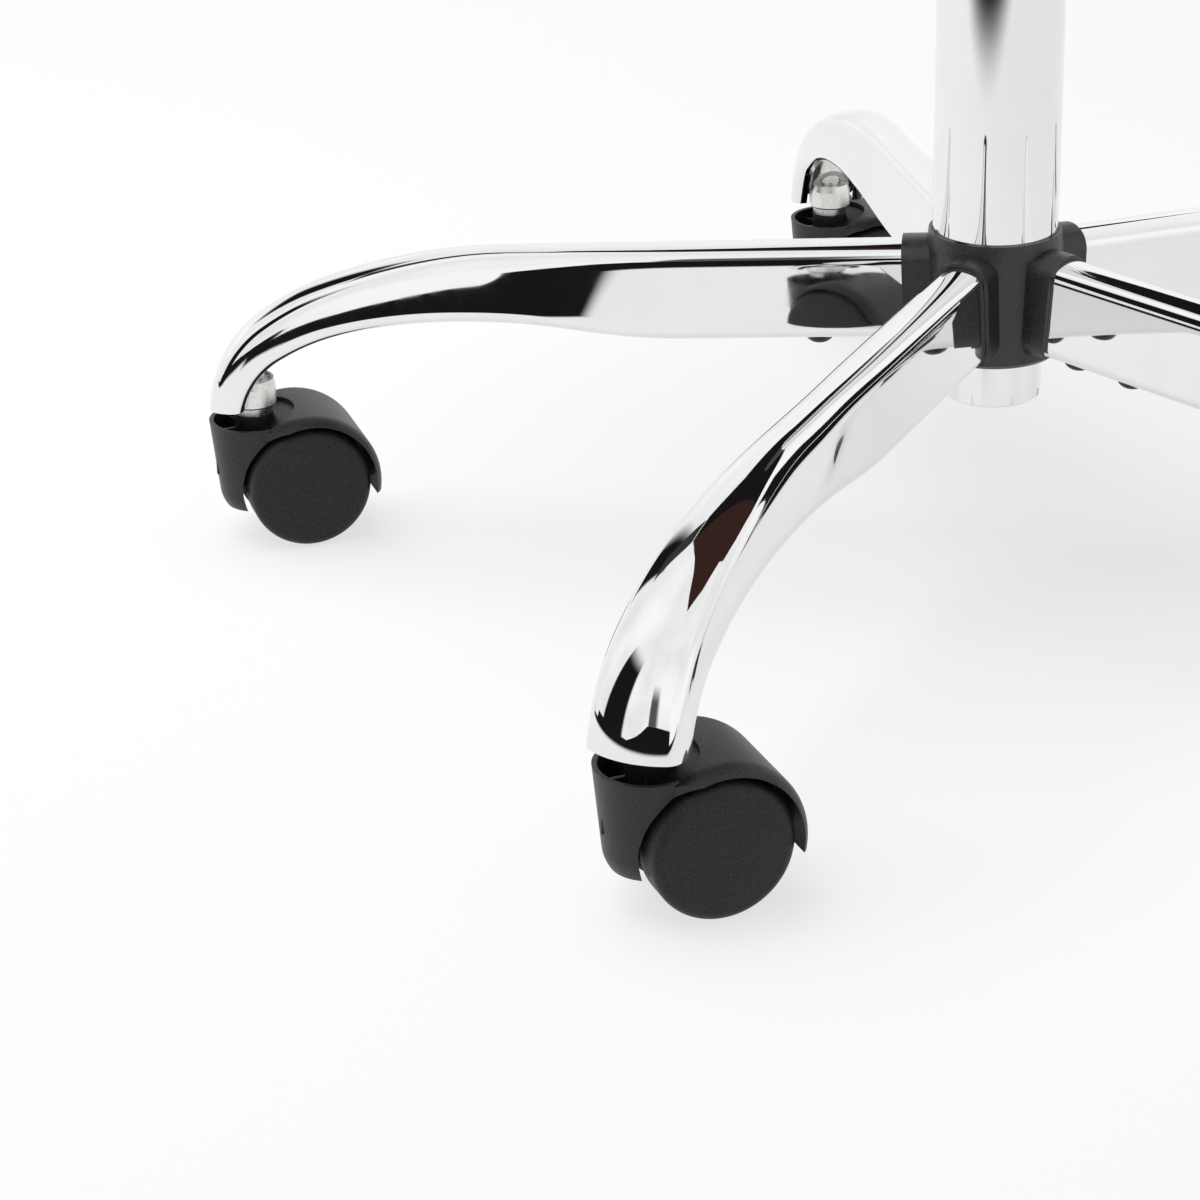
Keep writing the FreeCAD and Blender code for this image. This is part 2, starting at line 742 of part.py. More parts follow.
def build_bolts():
    """Two button head bolts under each arm, screwed into the hub's tongue."""
    head = D["bolt_head_height"]
    radius = D["bolt_shank_radius"]
    bolt = turned_body("bolt", [
        (D["bolt_socket_radius"], -head),
        (D["bolt_crown_radius"], -head, D["bolt_crown_arc"], 1),
        (D["bolt_head_radius"], -D["bolt_head_edge"]),
        (D["bolt_head_radius"], Size.of(0.0)),
        (radius, Size.of(0.0)),
        (radius, D["bolt_length"] - 1.0),
        (radius - 0.7, D["bolt_length"]),
        (Size.of(0.0), D["bolt_length"]),
        (Size.of(0.0), -head * 0.45),
        (D["bolt_socket_radius"], -head * 0.45),
    ])
    links = []
    for number in range(1, ARM_COUNT + 1):
        for place in (0, 1):
            stand = about_z(arm_angle(number)).multiply(bolt_tilt(place))
            links.append(link_to(bolt, f"arm_bolt_{number}_{place + 1}", stand))
    bolts = doc.addObject("Part::Compound", "bolt_group")
    bolts.Links = links
    keep("arm_bolts", bolts)


# Gas lift

def build_column():
    inner = D["column_radius"] - D["column_wall"]
    body = turned_body("column", [
        (inner, D["column_top"]),
        (D["column_radius"], D["column_top"]),
        (D["column_radius"], D["hub_top"]),
        (D["seat_radius"], D["hub_bottom"] + D["seat_shoulder"]),
        (D["neck_radius"], D["hub_bottom"] - D["free_gap"]),
        (D["neck_radius"], D["neck_bottom"] + D["neck_edge"]),
        (D["neck_radius"] - D["neck_edge"], D["neck_bottom"]),
        (D["neck_radius"] - D["neck_wall"], D["neck_bottom"]),
        (D["neck_radius"] - D["neck_wall"], D["foot_height"]),
        (D["rod_radius"] + D["running_gap"], D["foot_height"]),
        (D["rod_radius"] + D["running_gap"], D["foot_height"] + D["foot_thickness"]),
        (D["neck_radius"] - D["neck_wall"], D["foot_height"] + D["foot_thickness"]),
        (D["neck_radius"] - D["neck_wall"], D["hub_bottom"] + D["seat_shoulder"]),
        (D["seat_radius"] - D["column_wall"], D["hub_bottom"] + D["seat_shoulder"] * 2),
        (inner, D["hub_top"]),
    ])
    sketch = new_sketch(body, "crimp_outline", "XZ_Plane")
    half = D["crimp_width"] / 2
    low = D["neck_bottom"] + D["neck_edge"]
    outline(sketch, [
        (-half, low), (half, low), (half, low + D["crimp_height"]),
        (-half, low + D["crimp_height"]),
    ])
    sketch.AttachmentOffset = FreeCAD.Placement(
        FreeCAD.Vector(0, 0, mm("neck_radius")), FreeCAD.Rotation())
    sketch.setExpression("AttachmentOffset.Base.z", D["neck_radius"].text)
    doc.recompute()
    crimp = pad(body, "crimp", sketch, D["crimp_depth"], cut=True)
    around(body, "crimps", crimp, 8)
    keep("column_tube", body)


def build_bushing():
    inner = D["column_radius"] - D["column_wall"] - D["fit_gap"]
    bore = D["cylinder_radius"] + D["running_gap"]
    flange_top = D["column_top"] + D["bushing_flange"]
    keep("guide_bushing", turned_body("bushing", [
        (bore, D["column_top"] - D["bushing_depth"]),
        (inner - D["bushing_relief"], D["column_top"] - D["bushing_depth"]),
        (inner, D["column_top"] - D["bushing_depth"] + D["bushing_relief"]),
        (inner, D["column_top"]),
        (D["column_radius"] - D["fit_gap"], D["column_top"]),
        (D["column_radius"] - D["bushing_relief"], flange_top),
        (bore, flange_top),
    ]))


def washer(name, low, thickness, inner, outer):
    return turned_body(name, [
        (inner, low), (outer, low), (outer, low + thickness), (inner, low + thickness)])


def build_thrust_bearing():
    plate = D["foot_height"] + D["foot_thickness"]
    play = D["bearing_play"]
    bore = D["rod_radius"] + D["running_gap"]
    thick = D["washer_thickness"]
    keep("thrust_washer_lower", washer("washer_low", plate + play, thick, bore,
                                       D["washer_radius"]))
    track = plate + play * 2 + thick
    centre = track + D["ball_radius"]
    cage = washer("cage_ring", centre - D["cage_thickness"] / 2, D["cage_thickness"],
                  bore + D["cage_margin"], D["washer_radius"] - D["cage_margin"])
    hole = new_sketch(cage, "ball_hole_outline", "XY_Plane", lift=centre)
    circle(hole, D["ball_circle"], 0.0, D["ball_radius"] + D["running_gap"])
    doc.recompute()
    first = pad(cage, "ball_hole", hole, D["cage_thickness"] * 2, cut=True, middle=True)
    around(cage, "ball_holes", first, BALL_COUNT)
    keep("bearing_cage", cage)
    ball = doc.addObject("Part::Sphere", "ball")
    bind(ball, Radius=D["ball_radius"])
    links = []
    for index in range(BALL_COUNT):
        turn = about_z(index * 360.0 / BALL_COUNT)
        place = FreeCAD.Placement(
            FreeCAD.Vector(mm("ball_circle"), 0, centre.value), FreeCAD.Rotation())
        links.append(link_to(ball, f"ball_{index + 1}", turn.multiply(place)))
    group = doc.addObject("Part::Compound", "ball_group")
    group.Links = links
    keep("bearing_balls", group)
    upper = centre + D["ball_radius"] + play
    keep("thrust_washer_upper", washer("washer_up", upper, thick, D["rod_radius"],
                                       D["washer_radius"]))
    return upper + thick


def build_rod(seat):
    """The rod with the parts that turn with it. Its shoulder stands on the upper washer."""
    groove_top = D["foot_height"] - D["free_gap"]
    groove_low = groove_top - D["clip_thickness"] - D["running_gap"] * 2
    groove = D["rod_radius"] - D["clip_groove"]
    keep("piston_rod", turned_body("rod", [
        (Size.of(0.0), D["rod_end"]),
        (D["rod_radius"] - 0.8, D["rod_end"]),
        (D["rod_radius"], D["rod_end"] + 0.8),
        (D["rod_radius"], groove_low),
        (groove, groove_low),
        (groove, groove_top),
        (D["rod_radius"], groove_top),
        (D["rod_radius"], D["rod_top"]),
        (Size.of(0.0), D["rod_top"]),
    ]))
    clip = new_body("clip_body")
    sketch = new_sketch(clip, "clip_outline", "XY_Plane",
                        lift=groove_low + D["running_gap"])
    outer = D["clip_radius"]
    circle(sketch, 0.0, 0.0, outer)
    circle(sketch, 0.0, 0.0, groove + D["seat_gap"])
    doc.recompute()
    pad(clip, "clip_ring", sketch, D["clip_thickness"])
    gap = new_sketch(clip, "clip_gap_outline", "XY_Plane",
                     lift=groove_low + D["running_gap"])
    half = D["clip_opening"] / 2
    outline(gap, [(0.5, -half), (outer + 1.0, -half), (outer + 1.0, half), (0.5, half)])
    doc.recompute()
    pad(clip, "clip_gap", gap, D["clip_thickness"], cut=True, reverse=True)
    keep("retaining_clip", clip)
    base = seat + D["fit_gap"]
    keep("rubber_buffer", turned_body("buffer", [
        (D["rod_radius"], base),
        (D["buffer_radius"], base),
        (D["buffer_radius"] - 1.5, base + D["buffer_height"] / 2),
        (D["buffer_radius"], base + D["buffer_height"]),
        (D["rod_radius"], base + D["buffer_height"]),
    ]))
    bore = D["cylinder_radius"] - D["cylinder_wall"]
    keep("piston", turned_body("piston_turned", [
        (Size.of(0.0), D["rod_top"]),
        (bore - D["running_gap"], D["rod_top"]),
        (bore - D["running_gap"], D["rod_top"] + D["piston_height"] * 0.35),
        (bore - 1.5, D["rod_top"] + D["piston_height"] * 0.35),
        (bore - 1.5, D["rod_top"] + D["piston_height"] * 0.65),
        (bore - D["running_gap"], D["rod_top"] + D["piston_height"] * 0.65),
        (bore - D["running_gap"], D["rod_top"] + D["piston_height"]),
        (Size.of(0.0), D["rod_top"] + D["piston_height"]),
    ]))


def build_cylinder():
    outer = D["cylinder_radius"]
    bore = outer - D["cylinder_wall"]
    head = D["cylinder_top"] - D["valve_length"]
    pin_bore = D["pin_radius"] + D["running_gap"]
    pin_foot = D["cylinder_top"] - D["pin_depth"]
    keep("gas_cylinder", turned_body("cylinder", [
        (bore, D["cylinder_bottom"]),
        (outer - 0.6, D["cylinder_bottom"]),
        (outer, D["cylinder_bottom"] + 0.6),
        (outer, D["cylinder_top"] - D["taper_length"]),
        (D["taper_top_radius"], D["cylinder_top"] - 1.0),
        (D["taper_top_radius"] - 1.0, D["cylinder_top"]),
        (pin_bore, D["cylinder_top"]),
        (pin_bore, pin_foot),
        (Size.of(0.0), pin_foot),
        (Size.of(0.0), head),
        (bore, head),
    ]))
    guide_low = D["cylinder_bottom"] + D["free_gap"]
    guide_bore = D["rod_radius"] + D["running_gap"]
    keep("rod_guide", turned_body("guide", [
        (guide_bore, guide_low),
        (bore, guide_low),
        (bore, guide_low + D["guide_height"]),
        (guide_bore + 2.0, guide_low + D["guide_height"]),
        (guide_bore + 2.0, guide_low + D["guide_height"] - 2.0),
        (guide_bore, guide_low + D["guide_height"] - 2.0),
    ]))
    collar = D["cylinder_top"] + D["pin_rise"]
    keep("release_pin", turned_body("pin", [
        (Size.of(0.0), pin_foot + D["pin_travel"] + D["free_gap"]),
        (D["pin_radius"], pin_foot + D["pin_travel"] + D["free_gap"]),
        (D["pin_radius"], collar - D["pin_edge"]),
        (D["pin_radius"] - D["pin_edge"], collar),
        (Size.of(0.0), collar),
    ]))


# Caster: stem and socket stay with the arm, the housing swivels, the wheels roll

def build_sockets_and_stems():
    radius = D["socket_radius"]
    post = turned_body("socket_post", [
        (D["stem_radius"] + D["running_gap"], D["socket_bottom"]),
        (radius - 0.8, D["socket_bottom"]),
        (radius, D["socket_bottom"] + 0.8),
        (radius, D["socket_shoulder"]),
        (D["socket_neck_radius"], D["socket_neck_height"]),
        (D["socket_neck_radius"], D["arm_ridge_height"]),
        (Size.of(0.0), D["arm_ridge_height"]),
        (Size.of(0.0), D["stem_top"] + D["free_gap"]),
        (D["stem_radius"] + D["running_gap"], D["stem_top"] + D["free_gap"]),
    ])
    room = make_feature("arm_room", lofted(
        arm_stations(), inset=mm("arm_wall") + mm("fit_gap") / 3))
    below = doc.addObject("Part::Cylinder", "socket_below_arm")
    bind(below, Radius=radius * 2, Height=D["socket_shoulder"] + D["socket_drop"])
    below.setExpression("Placement.Base.x", D["pivot_radius"].text)
    allowed = doc.addObject("Part::MultiFuse", "socket_room")
    allowed.Shapes = [room, below]
    moved = link_to(post, "socket_at_pivot",
                    FreeCAD.Placement(FreeCAD.Vector(mm("pivot_radius"), 0, 0),
                                      FreeCAD.Rotation()), Base_x=D["pivot_radius"])
    socket = doc.addObject("Part::MultiCommon", "caster_socket")
    socket.Shapes = [moved, allowed]
    ring_low = D["grip_ring_level"]
    ring_high = ring_low + D["grip_ring_height"]
    core = D["stem_radius"] - D["grip_ring_depth"]
    stem = turned_body("stem", [
        (Size.of(0.0), D["stem_foot"]),
        (D["stem_foot_radius"] - 1.0, D["stem_foot"]),
        (D["stem_foot_radius"], D["stem_foot"] + 1.0),
        (D["stem_foot_radius"], D["stem_collar_bottom"]),
        (D["stem_collar_radius"], D["stem_collar_bottom"]),
        (D["stem_collar_radius"], D["stem_collar_top"]),
        (D["stem_radius"], D["stem_collar_top"]),
        (D["stem_radius"], ring_low),
        (core, ring_low),
        (core, ring_high),
        (D["stem_radius"], ring_high),
        (D["stem_radius"], D["stem_top"] - 1.0),
        (D["stem_radius"] - 1.0, D["stem_top"]),
        (Size.of(0.0), D["stem_top"]),
    ])
    ring = new_body("grip_ring_body")
    sketch = new_sketch(ring, "grip_ring_outline", "XY_Plane", lift=ring_low + D["running_gap"])
    circle(sketch, 0.0, 0.0, D["stem_radius"] + D["running_gap"] / 2)
    circle(sketch, 0.0, 0.0, core + D["seat_gap"])
    doc.recompute()
    ring_height = D["grip_ring_height"] - D["running_gap"] * 2
    pad(ring, "grip_ring", sketch, ring_height)
    split = new_sketch(ring, "grip_split_outline", "XY_Plane", lift=ring_low)
    outline(split, [(1.0, -0.8), (D["stem_radius"] + 2.0, -0.8),
                    (D["stem_radius"] + 2.0, 0.8), (1.0, 0.8)])
    doc.recompute()
    pad(ring, "grip_split", split, D["grip_ring_height"] * 2, cut=True, reverse=True)
    rings = []
    for number in range(1, ARM_COUNT + 1):
        turn = about_z(arm_angle(number))
        keep(f"caster_socket_{number}", link_to(socket, f"socket_link_{number}", turn))
        keep(f"caster_stem_{number}", link_to(stem, f"stem_link_{number}", caster_place(number)))
        rings.append(link_to(ring, f"ring_link_{number}", caster_place(number)))
    group = doc.addObject("Part::Compound", "ring_group")
    group.Links = rings
    keep("stem_grip_rings", group)


def caster_place(number):
    """Where a caster's own frame stands: its origin on the floor under the swivel axis."""
    angle = math.radians(arm_angle(number))
    base = FreeCAD.Vector(math.cos(angle), math.sin(angle), 0) * mm("pivot_radius")
    return about_z(CASTER_HEADINGS[f"heading_{number}"], base)


def side_block(name, corners, width):
    """An outline in the caster's middle plane, made as wide to both sides."""
    body = new_body(name + "_body")
    sketch = new_sketch(body, name + "_outline")
    outline(sketch, corners)
    pad(body, name, sketch, width, middle=True)
    return body


def disc(name, radius, width):
    """A cylinder about the wheels' axle, across the caster."""
    body = new_body(name + "_body")
    sketch = new_sketch(body, name + "_outline")
    circle(sketch, D["trail"], D["wheel_radius"], radius)
    pad(body, name, sketch, width, middle=True)
    return body


def combined(kind, name, pieces):
    result = doc.addObject(kind, name)
    if kind == "Part::Cut":
        result.Base, result.Tool = pieces
    else:
        result.Shapes = pieces
    return result


def hood_disc():
    """The hood's outside: a disc with rounded edges, turned about the axle."""
    body = new_body("hood_body")
    sketch = new_sketch(body, "hood_outline", "XY_Plane", lift=D["wheel_radius"])
    sketch.setExpression("AttachmentOffset.Base.x", D["trail"].text)
    radius = D["wheel_radius"] + D["hood_gap"] + D["hood_wall"]
    wide = D["hood_half_width"]
    edge = D["hood_edge"]
    outline(sketch, [
        (Size.of(0.0), -wide),
        (radius - edge, -wide, edge, 1),
        (radius, edge - wide),
        (radius, wide - edge, edge, 1),
        (radius - edge, wide),
        (Size.of(0.0), wide),
    ])
    feature = body.newObject("PartDesign::Revolution", "hood")
    feature.Profile = sketch
    feature.ReferenceAxis = (sketch, ["V_Axis"])
    feature.Angle = 360
    return body


def shoulder_trim():
    """What lies outside the plan outline, which narrows from the hood to the cup."""
    body = new_body("shoulder_body")
    wide = D["hood_half_width"] * 2
    start = -D["cup_rim_radius"] * 3
    for sign, name in ((1, "left"), (-1, "right")):
        sketch = new_sketch(body, f"shoulder_{name}_outline", "XY_Plane")
        outline(sketch, [
            (start, wide * sign),
            (start, D["shoulder_front"] * sign),
            (-D["shoulder_front"], D["shoulder_front"] * sign),
            (Size.of(0.0), (D["cup_foot_radius"] + D["shoulder_step"]) * sign),
            (D["shoulder_end"], D["hood_half_width"] * sign),
            (D["shoulder_end"], wide * sign),
        ])
        pad(body, f"shoulder_{name}", sketch, D["cup_rim"] * 2)
    return body


def build_housing():
    """A moulded hood over both wheels, with an open cup round the swivelling stem."""
    wheel = D["wheel_radius"]
    trail = D["trail"]
    hood_inner = wheel + D["hood_gap"]
    wide = D["hood_half_width"] * 4
    hood = combined("Part::Cut", "hood_trimmed", [hood_disc(), shoulder_trim()])
    cup = turned_body("cup", [
        (Size.of(0.0), D["cup_bottom"]),
        (D["cup_bowl_start"], D["cup_bottom"], D["cup_bowl_radius"], 1),
        (D["cup_foot_radius"], D["cup_foot_height"]),
        (D["cup_rim_radius"], D["cup_rim"]),
        (Size.of(0.0), D["cup_rim"]),
    ])
    outside = combined("Part::MultiFuse", "housing_outside", [hood, cup])
    inner_rim = D["cup_rim_radius"] - D["cup_wall"]
    inner_floor = D["cup_foot_radius"] + D["cup_floor_flare"] - D["cup_wall"]
    cup_room = turned_body("cup_room", [
        (Size.of(0.0), D["cup_floor"]),
        (inner_floor, D["cup_floor"]),
        (inner_rim, D["cup_rim"]),
        (inner_rim, D["cup_rim"] * 2),
        (Size.of(0.0), D["cup_rim"] * 2),
    ])
    inner_wall = disc("inner_wall", hood_inner + D["inner_wall"], wide)
    upper_room = combined("Part::Cut", "upper_room", [cup_room, inner_wall])
    under = D["cup_floor"] - D["cup_floor_thickness"]
    skirt_room = turned_body("skirt_room", [
        (Size.of(0.0), D["cup_bottom"] + D["cup_wall"]),
        (D["cup_bowl_start"], D["cup_bottom"] + D["cup_wall"],
         D["cup_bowl_radius"] - D["cup_wall"], 1),
        (D["cup_foot_radius"] - D["cup_wall"], D["cup_foot_height"]),
        (inner_floor, under),
        (Size.of(0.0), under),
    ])
    lip = math.radians(mm("hood_lip_angle"))
    hood_outer = hood_inner + D["hood_wall"]
    lip_x = trail + hood_outer * math.cos(lip)
    lip_z = wheel - hood_outer * math.sin(lip)
    boss = D["axle_boss_radius"]
    lower_trim = side_block("lower_trim", [
        (-D["cup_rim_radius"] * 3, Size.of(-10.0)),
        (lip_x + 9.0, Size.of(-10.0)),
        (lip_x + 9.0, lip_z),
        (lip_x - D["hood_wall"], lip_z),
        (trail + boss, wheel - boss),
        (trail - boss, wheel - boss),
        (D["web_notch"], D["cup_foot_height"]),
        (-D["skirt_cut"], D["cup_foot_height"]),
        (-D["skirt_cut"], D["cup_foot_height"] - D["skirt_depth"]),
        (-D["cup_rim_radius"] * 3, D["cup_foot_height"] - D["skirt_depth"]),
    ], wide)
    rooms = combined("Part::MultiFuse", "housing_rooms", [upper_room, skirt_room, lower_trim])
    shell = combined("Part::Cut", "housing_shell", [outside, rooms])
    # bosses and ribs, all within the cup
    boss_half = D["boss_half_width"]
    flat = mm("boss_radius") * math.cos(
        math.asin(mm("boss_half_width") / mm("boss_radius")))
    inside = new_body("inside_body")
    stem_boss = new_sketch(inside, "stem_boss_outline", "XY_Plane", lift=D["boss_bottom"])
    outline(stem_boss, [
        (-flat, -boss_half),
        (flat, -boss_half, D["boss_radius"], 1),
        (flat, boss_half),
        (-flat, boss_half, D["boss_radius"], 1),
    ])
    pad(inside, "stem_boss", stem_boss,
        D["stem_collar_bottom"] - D["free_gap"] - D["boss_bottom"])
    rib = new_sketch(inside, "rib_outline", "XY_Plane", lift=under + 0.5)
    thin = D["cup_rib"] / 2
    outline(rib, [
        (boss_half - 1.5, -thin),
        (inner_rim + 0.4, -thin),
        (inner_rim + 0.4, thin),
        (boss_half - 1.5, thin),
    ])
    first = pad(inside, "rib", rib, D["cup_rim"] - D["cup_rib_drop"] - under - 0.5)
    around(inside, "ribs", first, 6)
    filled = combined("Part::MultiFuse", "housing_filled", [shell, inside])
    # room for the wheels, beside the web in the middle
    web = side_block("web", [
        (-D["cup_rim_radius"] * 3, Size.of(-20.0)),
        (trail + hood_outer * 2, Size.of(-20.0)),
        (trail + hood_outer * 2, D["cup_rim"] * 2),
        (-D["cup_rim_radius"] * 3, D["cup_rim"] * 2),
    ], D["web_half"] * 2)
    wheel_space = disc("wheel_space", hood_inner, wide)
    wheel_rooms = combined("Part::Cut", "wheel_rooms", [wheel_space, web])
    hollow = combined("Part::Cut", "housing_hollow", [filled, wheel_rooms])
    core = disc("axle_boss", boss, boss_half * 2)
    middle = new_body("stem_core_body")
    middle_sketch = new_sketch(middle, "stem_core_outline", "XY_Plane", lift=D["boss_bottom"])
    outline(middle_sketch, [
        (-flat, -boss_half),
        (flat, -boss_half, D["boss_radius"], 1),
        (flat, boss_half),
        (-flat, boss_half, D["boss_radius"], 1),
    ])
    pad(middle, "stem_core", middle_sketch,
        D["stem_collar_bottom"] - D["free_gap"] - D["boss_bottom"])
    solid = combined("Part::MultiFuse", "housing_solid", [hollow, core, middle])
    stem_bore = turned_body("stem_bore", [
        (Size.of(0.0), D["stem_foot"] - D["free_gap"]),
        (D["stem_foot_radius"] + D["running_gap"], D["stem_foot"] - D["free_gap"]),
        (D["stem_foot_radius"] + D["running_gap"], D["cup_rim"] * 2),
        (Size.of(0.0), D["cup_rim"] * 2),
    ])
    axle_bore = disc("axle_bore", D["axle_radius"], boss_half * 4)
    bores = combined("Part::MultiFuse", "housing_bores", [stem_bore, axle_bore])
    return combined("Part::Cut", "caster_housing", [solid, bores])


def build_axle():
    axle = doc.addObject("Part::Cylinder", "axle_pin")
    bind(axle, Radius=D["axle_radius"], Height=D["axle_half_length"] * 2)
    axle.Placement = FreeCAD.Placement(
        FreeCAD.Vector(mm("trail"), mm("axle_half_length"),
                       mm("wheel_radius")),
        FreeCAD.Rotation(FreeCAD.Vector(1, 0, 0), 90))
    axle.setExpression("Placement.Base.x", D["trail"].text)
    axle.setExpression("Placement.Base.y", D["axle_half_length"].text)
    axle.setExpression("Placement.Base.z", D["wheel_radius"].text)
    return axle


def build_wheel():
    """A hollow moulded wheel, turned about Z here: its axle bore opens at the inner face."""
    rim = D["wheel_radius"]
    face = D["wheel_inner_face"]
    bore = D["axle_radius"] + D["running_gap"]
    tread_end = face + D["tread_width"]
    wall = D["wheel_wall"]
    hub = D["wheel_hub_radius"]
    edge = D["wheel_edge"]
    bottom = D["axle_half_length"] + D["free_gap"]
    dome = D["wheel_dome"]
    dome_edge = tread_end + edge
    reach = mm("wheel_radius") - mm("wheel_edge")
    rise = dome.value - dome_edge.value
    dome_radius = (reach ** 2 + rise ** 2) / (2 * rise)
    body = turned_body("wheel", [
        (Size.of(0.0), bottom),
        (bore, bottom),
        (bore, face),
        (hub, face),
        (hub, tread_end - wall * 0.5),
        (rim - wall - 1.0, tread_end - wall * 0.5),
        (rim - wall, tread_end - wall * 0.5 - 1.0),
        (rim - wall, face + 0.6),
        (rim - wall + 0.6, face + 0.6),
        (rim - 0.8, face + 0.6),
        (rim, face + 1.4),
        (rim, tread_end, edge, 1),
        (rim - edge, dome_edge, dome_radius, 1),
        (Size.of(0.0), dome),
    ])
    rib = new_sketch(body, "wheel_rib_outline", "XY_Plane", lift=tread_end - wall * 0.5)
    half = D["wheel_rib"] / 2
    outline(rib, [
        (hub - 0.6, -half), (rim - wall + 0.6, -half),
        (rim - wall + 0.6, half), (hub - 0.6, half),
    ])
    doc.recompute()
    first = pad(body, "wheel_rib", rib, D["tread_width"] - wall, reverse=True)
    around(body, "wheel_ribs", first, 6)
    return body


def build_casters():
    housing = build_housing()
    axle = build_axle()
    wheel = build_wheel()
    for number in range(1, ARM_COUNT + 1):
        place = caster_place(number)
        keep(f"caster_housing_{number}", link_to(housing, f"housing_link_{number}", place))
        keep(f"caster_axle_{number}", link_to(axle, f"axle_link_{number}",
                                              place.multiply(axle.Placement)))
        hub = FreeCAD.Vector(mm("trail"), 0, mm("wheel_radius"))
        for side, tilt in (("left", -90.0), ("right", 90.0)):
            turn = FreeCAD.Placement(hub, FreeCAD.Rotation(FreeCAD.Vector(1, 0, 0), tilt))
            keep(f"wheel_{number}_{side}", link_to(
                wheel, f"wheel_link_{number}_{side}", place.multiply(turn)))


def check_document():
    """Stops when anything failed to build."""
    doc.recompute()
    for thing in doc.Objects:
        if "Invalid" in thing.State or "Error" in thing.State:
            raise RuntimeError(f"{thing.Name} failed: {thing.State}")
    for node, thing in SUB_PARTS.items():
        shape = Part.getShape(thing)
        if shape.isNull() or not shape.isValid() or not shape.Solids:
            raise RuntimeError(f"{node} has no valid solid")


def write_parts():
    os.makedirs("parts", exist_ok=True)
    for node, thing in SUB_PARTS.items():
        Part.getShape(thing).exportStep(f"parts/{node}.step")


build_arms()
build_hub()
build_bolts()
build_column()
build_bushing()
build_rod(build_thrust_bearing())
build_cylinder()
build_sockets_and_stems()
build_casters()
check_document()
write_parts()
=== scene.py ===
import bpy
import bmesh
import math
import numpy as np
from mathutils import Matrix, Vector


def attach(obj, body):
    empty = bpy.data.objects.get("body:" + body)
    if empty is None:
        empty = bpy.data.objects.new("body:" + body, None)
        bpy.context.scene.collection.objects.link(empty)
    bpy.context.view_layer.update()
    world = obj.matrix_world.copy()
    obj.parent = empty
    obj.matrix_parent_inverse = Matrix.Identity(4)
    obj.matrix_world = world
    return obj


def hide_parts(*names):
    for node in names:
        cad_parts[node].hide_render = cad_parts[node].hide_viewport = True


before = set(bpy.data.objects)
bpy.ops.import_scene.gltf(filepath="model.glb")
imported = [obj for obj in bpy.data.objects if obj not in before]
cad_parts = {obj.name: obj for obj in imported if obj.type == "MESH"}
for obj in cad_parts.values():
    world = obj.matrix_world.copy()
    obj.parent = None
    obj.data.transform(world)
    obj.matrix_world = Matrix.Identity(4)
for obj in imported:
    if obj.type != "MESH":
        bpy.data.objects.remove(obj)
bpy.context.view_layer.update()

ARM_COUNT = 5
MM = 0.001

# Sizes of the pressed arms, in millimetres and degrees, as in the CAD source. The four values
# in a row are at the hub, along the slender part, at the bend and at the tip.
ARM_START = 29.5
RIDGE_HEIGHT = 138.2
ARM_FALL = 2.7
ARM_STRAIGHT = 166.0
BENDS = ((240.0, 18.8), (125.0, 14.5), (56.0, 55.0))    # radius and turn
TIP_HEIGHT = 60.0
DEPTHS = (38.2, 28.6, 21.6, 16.4)
HALF_WIDTHS = (10.4, 14.0, 16.2, 18.0)
CORNERS = (5.2, 6.8, 6.0, 6.0)
FLARES = (2.0, 13.0, 10.0, 5.0)
SOFT_RADIUS = 22.0          # the wide arc that runs out into the side
SOFT_TURN = 9.0
CROWN_ANGLE = 25.0
KNEE_START = 0.60           # parts of the straight length
KNEE_END = 1.07
ARM_WALL = 1.8
EDGE_RADIUS = 4.6
ARM_LIP = 6.6
SIDE_BULGE = 0.06           # the sides are not quite flat

# Fineness of the arms' meshes
RINGS = 150
BLEND = 8                   # rings on each side that smooth a section
SHARP_ANGLE = 40            # degrees
CROWN_POINTS, TIGHT_POINTS, SOFT_POINTS, SIDE_POINTS, EDGE_POINTS = 8, 10, 6, 8, 7
INNER_POINTS, INNER_SOFT_POINTS = 4, 2

# Camera, in metres, degrees and millimetres
CAMERA_PLACE = (0.4355, -1.1489, 0.5423)
CAMERA_YAW = 28.16
CAMERA_PITCH = 24.44
CAMERA_ROLL = -1.59
CAMERA_LENS = 97.96
SENSOR_WIDTH = 36.0

# Floor and light, in metres and watts
FLOOR_REACH = 6
FLOOR_WHITE = 0.22
FLOOR_LIFT = 0.71           # glow that keeps the floor's shadows faint
FLOOR_FADE = (0.7, 1.8)     # from here to there the floor turns plain white
# The next three give a painted soft shadow on the floor: the glow is lower around this middle,
# within this reach and by this much.
PAINTED_SHADE_MIDDLE = (-0.04, 0.08, 0.0)
PAINTED_SHADE_REACH = (0.03, 0.30)
PAINTED_SHADE_DEPTH = 0.11          # what the glow lacks at the middle
WORLD_LIGHT = 0.40          # what the white surroundings shed on surfaces
WORLD_SHINE = 1.12          # how bright they are in the chrome
SHINE_CLOUDS = 1.7          # soft grey patches in what the chrome mirrors
SHINE_LOW = 0.84
OVERHEAD_POWER, OVERHEAD_SIZE = 40.0, 1.8
SIDE_POWER, SIDE_SIZE = 9.0, 1.2

# The dark cards, in metres
SKY_RADIUS = 9.0
OVERHEAD_HEIGHT = 0.85
ROOM_WALL = -1.3
STRIP_GAP = 0.03            # the upright strip stands this far behind the room's wall
ROOM_EDGE = -0.70           # where the white table ends and the dark floor of the room starts
ROOM_FLOOR_HEIGHT = 0.001
BLACK = (0.010, 0.009, 0.009)
BROWN = (0.040, 0.019, 0.015)
CHARCOAL = (0.04, 0.04, 0.04)
GREY = (0.10, 0.10, 0.10)
UNFADED = (0.0, 0.0, 0.0, 0.0)


# Node trees

def shader_tree(name):
    material = bpy.data.materials.new(name)
    material.use_nodes = True
    tree = material.node_tree
    tree.nodes.clear()
    return material, tree, tree.nodes.new("ShaderNodeOutputMaterial")


